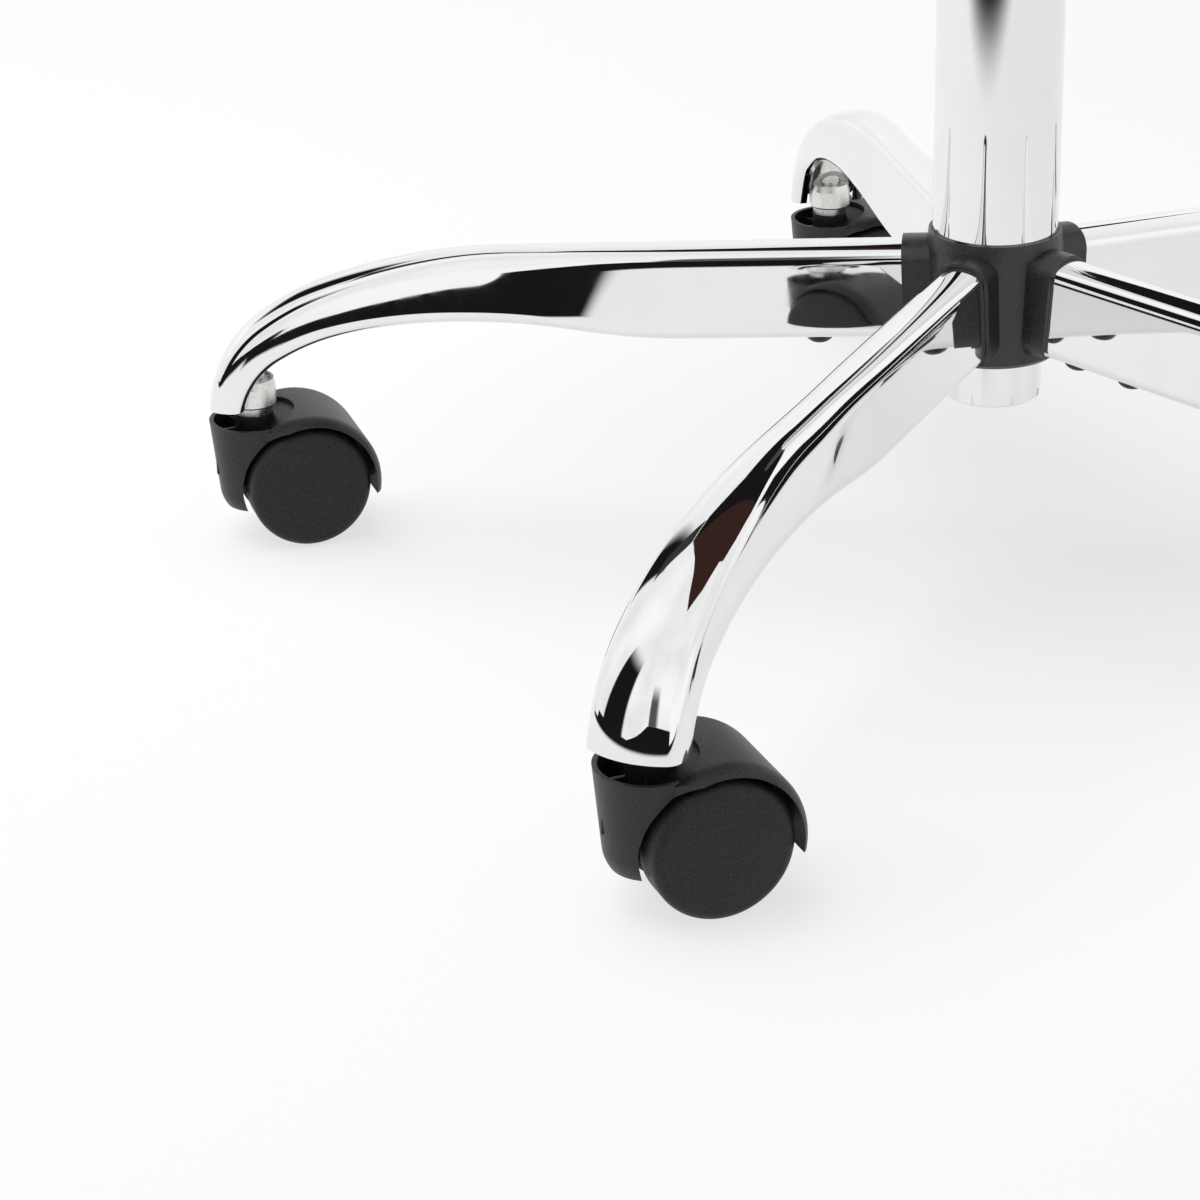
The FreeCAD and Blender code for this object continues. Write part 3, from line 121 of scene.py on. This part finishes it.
def math_node(tree, operation, first, second):
    node = tree.nodes.new("ShaderNodeMath")
    node.operation = operation
    tree.links.new(first, node.inputs[0])
    tree.links.new(second, node.inputs[1])
    return node.outputs[0]


def object_coordinates(tree):
    return tree.nodes.new("ShaderNodeTexCoord").outputs["Object"]


def noise(tree, scale, detail=2.0, roughness=0.5, vector=None):
    node = tree.nodes.new("ShaderNodeTexNoise")
    node.inputs["Scale"].default_value = scale
    node.inputs["Detail"].default_value = detail
    node.inputs["Roughness"].default_value = roughness
    tree.links.new(vector or object_coordinates(tree), node.inputs["Vector"])
    return node.outputs["Fac"]


def ramp(tree, value, low, high, start=0.0, end=1.0, smooth=False):
    """Maps value from low..high to start..end."""
    node = tree.nodes.new("ShaderNodeMapRange")
    if smooth:
        node.interpolation_type = "SMOOTHSTEP"
    node.inputs["From Min"].default_value = low
    node.inputs["From Max"].default_value = high
    node.inputs["To Min"].default_value = start
    node.inputs["To Max"].default_value = end
    tree.links.new(value, node.inputs["Value"])
    return node.outputs["Result"]


# Materials

def new_material(name, metallic=0.0):
    material, tree, output = shader_tree(name)
    shader = tree.nodes.new("ShaderNodeBsdfPrincipled")
    shader.inputs["Metallic"].default_value = metallic
    tree.links.new(shader.outputs["BSDF"], output.inputs["Surface"])
    return material, tree, shader


def tinted(tree, shader, value, dark, light):
    node = tree.nodes.new("ShaderNodeMix")
    node.data_type = "RGBA"
    node.inputs["A"].default_value = (*dark, 1.0)
    node.inputs["B"].default_value = (*light, 1.0)
    tree.links.new(value, node.inputs["Factor"])
    tree.links.new(node.outputs["Result"], shader.inputs["Base Color"])


def roughened(tree, shader, value, low, high, smoothest, roughest):
    tree.links.new(ramp(tree, value, low, high, smoothest, roughest),
                   shader.inputs["Roughness"])


def bumped(tree, shader, height, strength, distance):
    node = tree.nodes.new("ShaderNodeBump")
    node.inputs["Strength"].default_value = strength
    node.inputs["Distance"].default_value = distance
    tree.links.new(height, node.inputs["Height"])
    tree.links.new(node.outputs["Normal"], shader.inputs["Normal"])


def chrome_material(name):
    """Mirror chrome: a faint haze, and the waviness of polished pressings."""
    material, tree, shader = new_material(name, metallic=1.0)
    tinted(tree, shader, noise(tree, 60.0, 3.0), dark=(0.80, 0.80, 0.802),
           light=(0.85, 0.85, 0.852))
    roughened(tree, shader, noise(tree, 130.0, 3.0), 0.35, 0.7, 0.021, 0.048)
    bumped(tree, shader, noise(tree, 35.0, 1.0), strength=1.0, distance=0.00002)
    return material


def dull_zinc_material(name):
    """Bright zinc plate, satin rather than mirror."""
    material, tree, shader = new_material(name, metallic=1.0)
    tinted(tree, shader, noise(tree, 90.0, 3.0), dark=(0.74, 0.72, 0.69),
           light=(0.86, 0.85, 0.83))
    roughened(tree, shader, noise(tree, 500.0, 3.0), 0.3, 0.7, 0.24, 0.42)
    bumped(tree, shader, noise(tree, 800.0, 2.0), strength=0.5, distance=0.00002)
    return material


def plain_metal(name, dark, light, roughness):
    material, tree, shader = new_material(name, metallic=1.0)
    tinted(tree, shader, noise(tree, 120.0, 3.0), dark, light)
    roughened(tree, shader, noise(tree, 700.0, 2.0), 0.3, 0.7, roughness * 0.8,
              roughness * 1.25)
    bumped(tree, shader, noise(tree, 1500.0, 2.0), strength=0.4, distance=0.00001)
    return material


def grained_plastic(name, dark, light, grain, roughness, depth, gloss=0.5):
    """Moulded plastic with a fine spark-eroded grain."""
    material, tree, shader = new_material(name)
    shader.inputs["IOR"].default_value = 1.48
    shader.inputs["Specular IOR Level"].default_value = gloss
    fine = noise(tree, grain, 3.0, 0.6)
    cloudy = noise(tree, 40.0, 2.0)
    speckle = tree.nodes.new("ShaderNodeMath")
    speckle.operation = "MULTIPLY_ADD"
    speckle.inputs[1].default_value = 0.35
    tree.links.new(cloudy, speckle.inputs[0])
    tree.links.new(ramp(tree, fine, 0.36, 0.64, 0.0, 0.65), speckle.inputs[2])
    tinted(tree, shader, speckle.outputs[0], dark, light)
    roughened(tree, shader, fine, 0.3, 0.7, roughness - 0.06, roughness + 0.08)
    bumped(tree, shader, fine, strength=1.0, distance=depth)
    return material


MATERIALS = {
    "chrome": chrome_material("polished_chrome"),
    "socket": dull_zinc_material("zinc_socket"),
    "hub": grained_plastic(
        "hub_black", dark=(0.005, 0.0048, 0.0048), light=(0.030, 0.029, 0.0292),
        grain=1000.0, roughness=0.35, depth=0.00006, gloss=0.62),
    "caster": grained_plastic(
        "caster_black", dark=(0.002, 0.0019, 0.0019), light=(0.027, 0.026, 0.0262),
        grain=1250.0, roughness=0.40, depth=0.00020, gloss=0.42),
    "wheel": grained_plastic(
        "wheel_black", dark=(0.001, 0.001, 0.001), light=(0.032, 0.031, 0.0312),
        grain=1400.0, roughness=0.46, depth=0.00018, gloss=0.28),
    "steel": plain_metal(
        "bright_steel", dark=(0.52, 0.52, 0.53), light=(0.62, 0.62, 0.63), roughness=0.25),
    "bolt": plain_metal(
        "black_oxide", dark=(0.03, 0.03, 0.03), light=(0.05, 0.05, 0.05), roughness=0.45),
    "smooth_black": grained_plastic(
        "smooth_black", dark=(0.020, 0.020, 0.021), light=(0.028, 0.028, 0.030),
        grain=800.0, roughness=0.40, depth=0.00001),
    "cylinder": grained_plastic(
        "cylinder_black", dark=(0.012, 0.012, 0.013), light=(0.018, 0.018, 0.019),
        grain=600.0, roughness=0.26, depth=0.00001),
    "rubber": grained_plastic(
        "rubber_black", dark=(0.016, 0.016, 0.016), light=(0.022, 0.022, 0.022),
        grain=500.0, roughness=0.75, depth=0.00002),
}

# The first start that fits a node's name gives its material
FINISHES = (
    ("arm_bolts", "bolt"), ("arm_", "chrome"), ("column", "chrome"), ("hub", "hub"),
    ("caster_socket", "socket"), ("caster_housing", "caster"), ("wheel", "wheel"),
    ("gas_cylinder", "cylinder"), ("rubber", "rubber"), ("guide", "smooth_black"),
    ("bearing_cage", "smooth_black"), ("piston_rod", "steel"), ("piston", "smooth_black"),
    ("rod_guide", "smooth_black"), ("", "steel"))

for node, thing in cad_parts.items():
    finish = next(key for start, key in FINISHES if node.startswith(start))
    thing.data.materials.clear()
    thing.data.materials.append(MATERIALS[finish])


# The chromed arms, finer than the CAD solids that they stand for

def between(ends, share):
    return ends[0] + (ends[1] - ends[0]) * share


def ridge(along):
    """Radius, height and downward slope of the ridge at a distance along it."""
    slope = math.radians(ARM_FALL)
    straight = min(along, ARM_STRAIGHT)
    radius = ARM_START + straight * math.cos(slope)
    height = RIDGE_HEIGHT - straight * math.sin(slope)
    along -= straight
    for bend, degrees in BENDS:
        turn = min(along / bend, math.radians(degrees))
        radius += bend * (math.sin(slope + turn) - math.sin(slope))
        height -= bend * (math.cos(slope) - math.cos(slope + turn))
        slope += turn
        along -= bend * turn
    return radius, height, slope


def bend_ends():
    """Distances along the ridge at which its three bends end."""
    ends, along = [], ARM_STRAIGHT
    for bend, degrees in BENDS:
        along += bend * math.radians(degrees)
        ends.append(along)
    return ends


def smoothed(knots, values, places):
    """A curve through the knots with no overshoot and no kink."""
    steps = np.diff(knots)
    slopes = np.diff(values) / steps
    tangents = np.zeros(len(knots))
    for i in range(1, len(knots) - 1):
        if slopes[i - 1] * slopes[i] > 0:
            before, after = steps[i - 1], steps[i]
            first, second = 2 * after + before, after + 2 * before
            tangents[i] = (first + second) / (first / slopes[i - 1] + second / slopes[i])
    tangents[-1] = slopes[-1]
    index = np.clip(np.searchsorted(knots, places, side="right") - 1, 0, len(knots) - 2)
    share = (places - knots[index]) / steps[index]
    return (values[index] * (1 + 2 * share) * (1 - share) ** 2
            + steps[index] * tangents[index] * share * (1 - share) ** 2
            + values[index + 1] * share ** 2 * (3 - 2 * share)
            + steps[index] * tangents[index + 1] * share ** 2 * (share - 1))


def arm_profile(places):
    """Depth, half width, corner radius and flare of the sides at distances along the ridge."""
    wide_end, mid_end, tip_end = bend_ends()
    knee = (KNEE_START * ARM_STRAIGHT, KNEE_END * ARM_STRAIGHT)
    columns = (DEPTHS, HALF_WIDTHS, CORNERS, FLARES)
    rows = [(0.0, *[column[0] for column in columns])]
    for share in (0.0, 0.25, 0.5, 0.75, 1.0):
        eased = share * share * (3 - 2 * share)
        rows.append((between(knee, share), *[between(column[0:2], eased) for column in columns]))
    for share in (0.5, 1.0):
        rows.append((between((knee[1], wide_end), share),
                     *[between(column[1:3], share) for column in columns]))
    for part in (0.0, 0.25, 0.5, 0.75, 1.0):
        place = between((mid_end, tip_end), part)
        share = (place - wide_end) / (tip_end - wide_end)
        rows.append((place, *[between(column[2:4], share) for column in columns]))
    rows = np.array(rows)
    kernel = np.hanning(2 * BLEND + 1)
    kernel /= kernel.sum()
    found = []
    for column in (1, 2, 3, 4):
        values = smoothed(rows[:, 0], rows[:, column], places)
        beyond = values[-1] + (values[-1] - values[-2]) * np.arange(1, BLEND + 1)
        padded = np.concatenate([np.full(BLEND, values[0]), values, beyond])
        found.append(np.convolve(padded, kernel, mode="valid"))
    return found


def section_frame(depth, half_width, corner, flare):
    """Radius of the crown arc and the centres of three arcs: a tight one next to the crown, a
    wide one that runs out into the side, which flares out, and the one at the lower edge."""
    crown_angle, side_angle = math.radians(CROWN_ANGLE), math.radians(90.0 - flare)
    soft_angle = side_angle - math.radians(SOFT_TURN)
    edge = (half_width - EDGE_RADIUS, -depth + EDGE_RADIUS)
    side = edge[0] * math.sin(side_angle) + EDGE_RADIUS + edge[1] * math.cos(side_angle)
    across = ((side - SOFT_RADIUS + (SOFT_RADIUS - corner) * math.cos(side_angle - soft_angle)
               + corner * math.cos(side_angle))
              / (math.sin(side_angle) - math.tan(crown_angle / 2) * math.cos(side_angle)))
    crown = corner + across / math.sin(crown_angle)
    tight = (across, -corner - across * math.tan(crown_angle / 2))
    soft = (tight[0] + (corner - SOFT_RADIUS) * math.sin(soft_angle),
            tight[1] + (corner - SOFT_RADIUS) * math.cos(soft_angle))
    return crown, tight, soft, edge, (crown_angle, soft_angle, side_angle)


def arc(centre, radius, first, last, count):
    """Points after the first one, on an arc between two angles measured from upright."""
    points = []
    for i in range(1, count + 1):
        angle = first + (last - first) * i / count
        points.append((centre[0] + radius * math.sin(angle),
                       centre[1] + radius * math.cos(angle)))
    return points


def outer_section(depth, half_width, corner, flare):
    """Half of the outside, from the ridge down to the lip's inner edge, as (across, up)."""
    crown, tight, soft, edge, angles = section_frame(depth, half_width, corner, flare)
    crown_angle, soft_angle, side_angle = angles
    points = [(0.0, 0.0)]
    points += arc((0.0, -crown), crown, 0.0, crown_angle, CROWN_POINTS)
    points += arc(tight, corner, crown_angle, soft_angle, TIGHT_POINTS)
    points += arc(soft, SOFT_RADIUS, soft_angle, side_angle, SOFT_POINTS)
    top = points[-1]
    foot = (edge[0] + EDGE_RADIUS * math.sin(side_angle),
            edge[1] + EDGE_RADIUS * math.cos(side_angle))
    for i in range(1, SIDE_POINTS + 1):
        share = i / SIDE_POINTS
        bulge = 4 * SIDE_BULGE * share * (1 - share)
        points.append((between((top[0], foot[0]), share) + bulge * math.sin(side_angle),
                       between((top[1], foot[1]), share) + bulge * math.cos(side_angle)))
    points += arc(edge, EDGE_RADIUS, side_angle, math.pi, EDGE_POINTS)
    points.append((half_width - ARM_LIP, -depth))
    return points


def inner_section(depth, half_width, corner, flare):
    """Half of the inside, from the lip's inner edge up to under the ridge."""
    crown, tight, soft, edge, angles = section_frame(depth, half_width, corner, flare)
    crown_angle, soft_angle, side_angle = angles
    points = [(half_width - ARM_LIP, -depth + ARM_WALL), (edge[0], -depth + ARM_WALL)]
    points += arc(edge, EDGE_RADIUS - ARM_WALL, math.pi, side_angle, INNER_POINTS)
    points += arc(soft, SOFT_RADIUS - ARM_WALL, side_angle, soft_angle, INNER_SOFT_POINTS)
    points += arc(tight, corner - ARM_WALL, soft_angle, crown_angle, INNER_POINTS)
    points += arc((0.0, -crown), crown - ARM_WALL, crown_angle, 0.0, INNER_POINTS)
    return points


def arm_mesh():
    """One arm along +X, as a closed skin: outside, lips and inside. Shading is smooth, and
    breaks at its sharp edges."""
    places = np.linspace(0.0, bend_ends()[-1], RINGS)
    work = bmesh.new()
    rings = []
    for place, *section in zip(places, *arm_profile(places)):
        radius, height, slope = ridge(place)
        half = outer_section(*section) + inner_section(*section)
        loop = half + [(-across, up) for across, up in reversed(half[1:-1])]
        rings.append([work.verts.new(((radius + up * math.sin(slope)) * MM, across * MM,
                                      (height + up * math.cos(slope)) * MM))
                      for across, up in loop])
    count = len(rings[0])
    for first, second in zip(rings, rings[1:]):
        for i in range(count):
            j = (i + 1) % count
            work.faces.new((first[i], first[j], second[j], second[i]))
    work.faces.new(rings[0])
    work.faces.new(rings[-1])
    bmesh.ops.recalc_face_normals(work, faces=work.faces)
    cut = bmesh.ops.bisect_plane(
        work, geom=work.verts[:] + work.edges[:] + work.faces[:],
        plane_co=(0, 0, TIP_HEIGHT * MM), plane_no=(0, 0, -1), clear_outer=True)
    rim = [item for item in cut["geom_cut"] if isinstance(item, bmesh.types.BMEdge)]
    bmesh.ops.holes_fill(work, edges=rim, sides=0)
    bmesh.ops.recalc_face_normals(work, faces=work.faces)
    for face in work.faces:
        face.smooth = True
    for edge in work.edges:
        if len(edge.link_faces) == 2:
            edge.smooth = edge.calc_face_angle(0.0) < math.radians(SHARP_ANGLE)
    mesh = bpy.data.meshes.new("arm_pressing")
    work.to_mesh(mesh)
    work.free()
    return mesh


arm = arm_mesh()
arm.materials.append(MATERIALS["chrome"])
for number in range(1, ARM_COUNT + 1):
    angle = math.radians(-90.0 - (number - 1) * 360.0 / ARM_COUNT)
    piece = bpy.data.objects.new(f"chrome_arm_{number}", arm)
    bpy.context.scene.collection.objects.link(piece)
    piece.matrix_world = Matrix.Rotation(angle, 4, "Z")
    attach(piece, "base")
    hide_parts(f"arm_{number}")


# Camera, floor and light

def place_camera():
    yaw, pitch, roll = (math.radians(angle)
                        for angle in (CAMERA_YAW, CAMERA_PITCH, CAMERA_ROLL))
    forward = Vector((-math.sin(yaw) * math.cos(pitch), math.cos(yaw) * math.cos(pitch),
                      -math.sin(pitch)))
    level = Vector((math.cos(yaw), math.sin(yaw), 0.0))
    upward = level.cross(forward)
    right = level * math.cos(roll) + upward * math.sin(roll)
    top = -level * math.sin(roll) + upward * math.cos(roll)
    data = bpy.data.cameras.new("camera")
    data.sensor_width = SENSOR_WIDTH
    data.lens = CAMERA_LENS
    camera = bpy.data.objects.new("camera", data)
    bpy.context.scene.collection.objects.link(camera)
    turn = Matrix((right, top, -forward)).transposed().to_4x4()
    camera.matrix_world = Matrix.Translation(CAMERA_PLACE) @ turn
    bpy.context.scene.camera = camera


def stage_sheet(name, corners, faces):
    mesh = bpy.data.meshes.new(name)
    mesh.from_pydata(corners, [], faces)
    thing = bpy.data.objects.new(name, mesh)
    bpy.context.scene.collection.objects.link(thing)
    return thing


def flat_sheet(name, corners):
    return stage_sheet(name, corners, [tuple(range(len(corners)))])


def grid_sheet(name, columns, rows, place):
    """A sheet of columns by rows faces with UVs, each corner put where place(u, v) says."""
    stride = columns + 1
    corners = [place(i / columns, j / rows) for j in range(rows + 1) for i in range(stride)]
    faces = [(j * stride + i, j * stride + i + 1, (j + 1) * stride + i + 1, (j + 1) * stride + i)
             for j in range(rows) for i in range(columns)]
    thing = stage_sheet(name, corners, faces)
    layer = thing.data.uv_layers.new(name="sides")
    for loop in thing.data.loops:
        row, column = divmod(loop.vertex_index, stride)
        layer.data[loop.index].uv = (column / columns, row / rows)
    return thing


def floor_material():
    """White paper lit by the lamps, lifted so that its shadows stay faint, and plain white
    far from the base. Around the middle the lift is lower, which paints a soft shadow of the
    base."""
    material, tree, output = shader_tree("white_floor")
    diffuse = tree.nodes.new("ShaderNodeBsdfDiffuse")
    diffuse.inputs["Color"].default_value = (FLOOR_WHITE, FLOOR_WHITE, FLOOR_WHITE, 1.0)
    # Painted shade: the glow drops near the middle, which paints a soft shadow of the base on
    # the floor.
    painted_shade_distance = tree.nodes.new("ShaderNodeVectorMath")
    painted_shade_distance.operation = "DISTANCE"
    tree.links.new(object_coordinates(tree), painted_shade_distance.inputs[0])
    painted_shade_distance.inputs[1].default_value = PAINTED_SHADE_MIDDLE
    glow = tree.nodes.new("ShaderNodeEmission")
    tree.links.new(ramp(tree, painted_shade_distance.outputs["Value"], *PAINTED_SHADE_REACH,
                        FLOOR_LIFT - PAINTED_SHADE_DEPTH, FLOOR_LIFT), glow.inputs["Strength"])
    paper = tree.nodes.new("ShaderNodeAddShader")
    tree.links.new(diffuse.outputs[0], paper.inputs[0])
    tree.links.new(glow.outputs[0], paper.inputs[1])
    reach = tree.nodes.new("ShaderNodeVectorMath")
    reach.operation = "LENGTH"
    tree.links.new(object_coordinates(tree), reach.inputs[0])
    plain_white = tree.nodes.new("ShaderNodeEmission")
    mix = tree.nodes.new("ShaderNodeMixShader")
    tree.links.new(ramp(tree, reach.outputs["Value"], *FLOOR_FADE), mix.inputs["Fac"])
    tree.links.new(paper.outputs[0], mix.inputs[1])
    tree.links.new(plain_white.outputs[0], mix.inputs[2])
    tree.links.new(mix.outputs[0], output.inputs["Surface"])
    return material


def area_light(name, place, target, size, power):
    data = bpy.data.lights.new(name, "AREA")
    data.size = size
    data.energy = power
    thing = bpy.data.objects.new(name, data)
    bpy.context.scene.collection.objects.link(thing)
    thing.location = place
    thing.rotation_mode = "QUATERNION"
    thing.rotation_quaternion = (Vector(target) - Vector(place)).to_track_quat("-Z", "Y")
    thing.visible_glossy = False


def by_ray(tree, seen, mirrored, otherwise):
    """One value for the camera's rays, one for reflections and one for light on surfaces."""
    path = tree.nodes.new("ShaderNodeLightPath")
    return math_node(
        tree, "ADD", ramp(tree, path.outputs["Is Glossy Ray"], 0.0, 1.0, otherwise, mirrored),
        ramp(tree, path.outputs["Is Camera Ray"], 0.0, 1.0, 0.0, seen - otherwise))


def light_world():
    """White all round, with faint clouds in what the chrome mirrors of it."""
    world = bpy.data.worlds.new("studio")
    world.use_nodes = True
    tree = world.node_tree
    tree.nodes.clear()
    output = tree.nodes.new("ShaderNodeOutputWorld")
    background = tree.nodes.new("ShaderNodeBackground")
    background.inputs["Color"].default_value = (1.0, 1.0, 1.0, 1.0)
    clouds = noise(tree, SHINE_CLOUDS,
                   vector=tree.nodes.new("ShaderNodeTexCoord").outputs["Generated"])
    cloudy = tree.nodes.new("ShaderNodeMapRange")
    tree.links.new(tree.nodes.new("ShaderNodeLightPath").outputs["Is Glossy Ray"],
                   cloudy.inputs["Value"])
    cloudy.inputs["To Min"].default_value = 1.0
    tree.links.new(ramp(tree, clouds, 0.36, 0.64, SHINE_LOW, 1.0), cloudy.inputs["To Max"])
    strength = math_node(tree, "MULTIPLY", by_ray(tree, 1.0, WORLD_SHINE, WORLD_LIGHT),
                         cloudy.outputs["Result"])
    tree.links.new(strength, background.inputs["Strength"])
    tree.links.new(background.outputs[0], output.inputs["Surface"])
    bpy.context.scene.world = world


# Dark cards for the chrome to mirror

def card(thing, colour, fades=UNFADED):
    """Makes a sheet a dark card that only shows in reflections. fades are the parts of its
    width and height over which it fades at its low and high u and its low and high v."""
    material, tree, output = shader_tree(thing.name)
    place = tree.nodes.new("ShaderNodeTexCoord").outputs["UV"]
    parts = tree.nodes.new("ShaderNodeSeparateXYZ")
    tree.links.new(place, parts.inputs[0])
    cover = None
    for fade, axis, side in zip(fades, (0, 0, 1, 1), (0, 1, 0, 1)):
        if fade > 0.0:
            end = 1.0 - fade if side else fade
            edge = ramp(tree, parts.outputs[axis], side, end, smooth=True)
            cover = edge if cover is None else math_node(tree, "MULTIPLY", cover, edge)
    clear = tree.nodes.new("ShaderNodeBsdfTransparent")
    glow = tree.nodes.new("ShaderNodeEmission")
    glow.inputs["Color"].default_value = (*colour, 1.0)
    mix = tree.nodes.new("ShaderNodeMixShader")
    if cover is None:
        mix.inputs["Fac"].default_value = 1.0
    else:
        tree.links.new(cover, mix.inputs["Fac"])
    tree.links.new(clear.outputs[0], mix.inputs[1])
    tree.links.new(glow.outputs[0], mix.inputs[2])
    tree.links.new(mix.outputs[0], output.inputs["Surface"])
    thing.data.materials.append(material)
    thing.visible_camera = False
    thing.visible_diffuse = False
    thing.visible_shadow = False
    thing.visible_transmission = False


def sky_card(name, bearings, elevations, fades=UNFADED):
    """A black patch of the sky dome between two bearings and two elevations, in degrees."""
    def place(u, v):
        bearing = math.radians(between(bearings, u))
        height = math.radians(between(elevations, v))
        return (SKY_RADIUS * math.cos(height) * math.cos(bearing),
                SKY_RADIUS * math.cos(height) * math.sin(bearing),
                SKY_RADIUS * math.sin(height))
    card(grid_sheet(name, 24, 12, place), BLACK, fades)


def floor_card(name, x_range, y_range, fade):
    """A black patch just above the floor that fades towards the base."""
    def place(u, v):
        return (between(x_range, u), between(y_range, v), ROOM_FLOOR_HEIGHT)
    card(grid_sheet(name, 2, 2, place), BLACK, (0.0, 0.0, 0.0, fade))


def strip_card(name, x_range, z_range, colour, fades):
    """An upright strip just behind the room's wall."""
    def place(u, v):
        return (between(x_range, u), ROOM_WALL - STRIP_GAP, between(z_range, v))
    card(grid_sheet(name, 2, 2, place), colour, fades)


def overhead_card(name, outline, colour):
    card(flat_sheet(name, [(x, y, OVERHEAD_HEIGHT) for x, y in outline]), colour)


def wall_card(name, outline, colour):
    card(flat_sheet(name, [(x, ROOM_WALL, z) for x, z in outline]), colour)


place_camera()
light_world()
floor = flat_sheet("floor", [(x * FLOOR_REACH, y * FLOOR_REACH, 0)
                             for x, y in ((-1, -1), (1, -1), (1, 1), (-1, 1))])
floor.data.materials.append(floor_material())
area_light("overhead", (-0.8, -0.1, 1.8), (-0.1, -0.1, 0), OVERHEAD_SIZE, OVERHEAD_POWER)
area_light("side", (-1.9, -1.4, 1.6), (0, 0, 0.1), SIDE_SIZE, SIDE_POWER)

# A dark shape close overhead, the dark room beyond the front of the table, and dark flags
overhead_card("overhead_black", [
    (-0.29, 1.30), (-0.12, 1.30), (-0.08, 0.62), (0.05, 0.60), (0.20, 0.52), (0.30, 0.44),
    (0.44, 0.36), (-0.02, 0.20), (-0.43, 0.08), (-0.44, 0.20), (-0.36, 0.27), (-0.30, 0.36),
    (-0.32, 0.80)], BLACK)
overhead_card("overhead_brown", [
    (-0.43, 0.08), (-0.02, 0.20), (0.44, 0.36), (0.40, 0.18), (0.28, 0.02), (0.19, -0.02),
    (0.17, -0.20), (0.10, -0.34), (0.02, -0.27), (-0.08, -0.16), (-0.20, -0.06),
    (-0.33, 0.02)], BROWN)
overhead_card("overhead_band", [
    (-0.44, 0.08), (-0.45, 0.19), (-0.90, 0.24), (-0.90, 0.03)], CHARCOAL)
wall_card("room_wall", [
    (-2.40, 0.0), (0.75, 0.0), (0.75, 0.25), (0.25, 0.29), (0.02, 0.29), (-0.10, 0.20),
    (-0.20, 0.14), (-0.30, 0.10), (-0.42, 0.06), (-1.00, 0.12), (-2.40, 0.20)], BLACK)
sky_card("flag_right_behind", bearings=(50, 60), elevations=(-4, 36))
sky_card("flag_left_behind", bearings=(142, 161), elevations=(14, 46),
         fades=(0.3, 0.15, 0.2, 0.1))
sky_card("flag_left", bearings=(-148, -117), elevations=(0, 52), fades=(0.06, 0.1, 0.0, 0.25))
strip_card("flag_front", (0.02, 0.28), (0.22, 1.00), GREY, fades=(0.12, 0.4, 0.0, 0.5))
floor_card("room_floor_left", (-0.4, -0.15), (-3.0, ROOM_EDGE), fade=0.13)
floor_card("room_floor_far", (-FLOOR_REACH, -0.4), (-FLOOR_REACH, ROOM_EDGE), fade=0.057)
floor_card("room_floor", (-0.15, FLOOR_REACH), (-FLOOR_REACH, ROOM_EDGE), fade=0.057)

bpy.context.scene.view_settings.view_transform = "Standard"
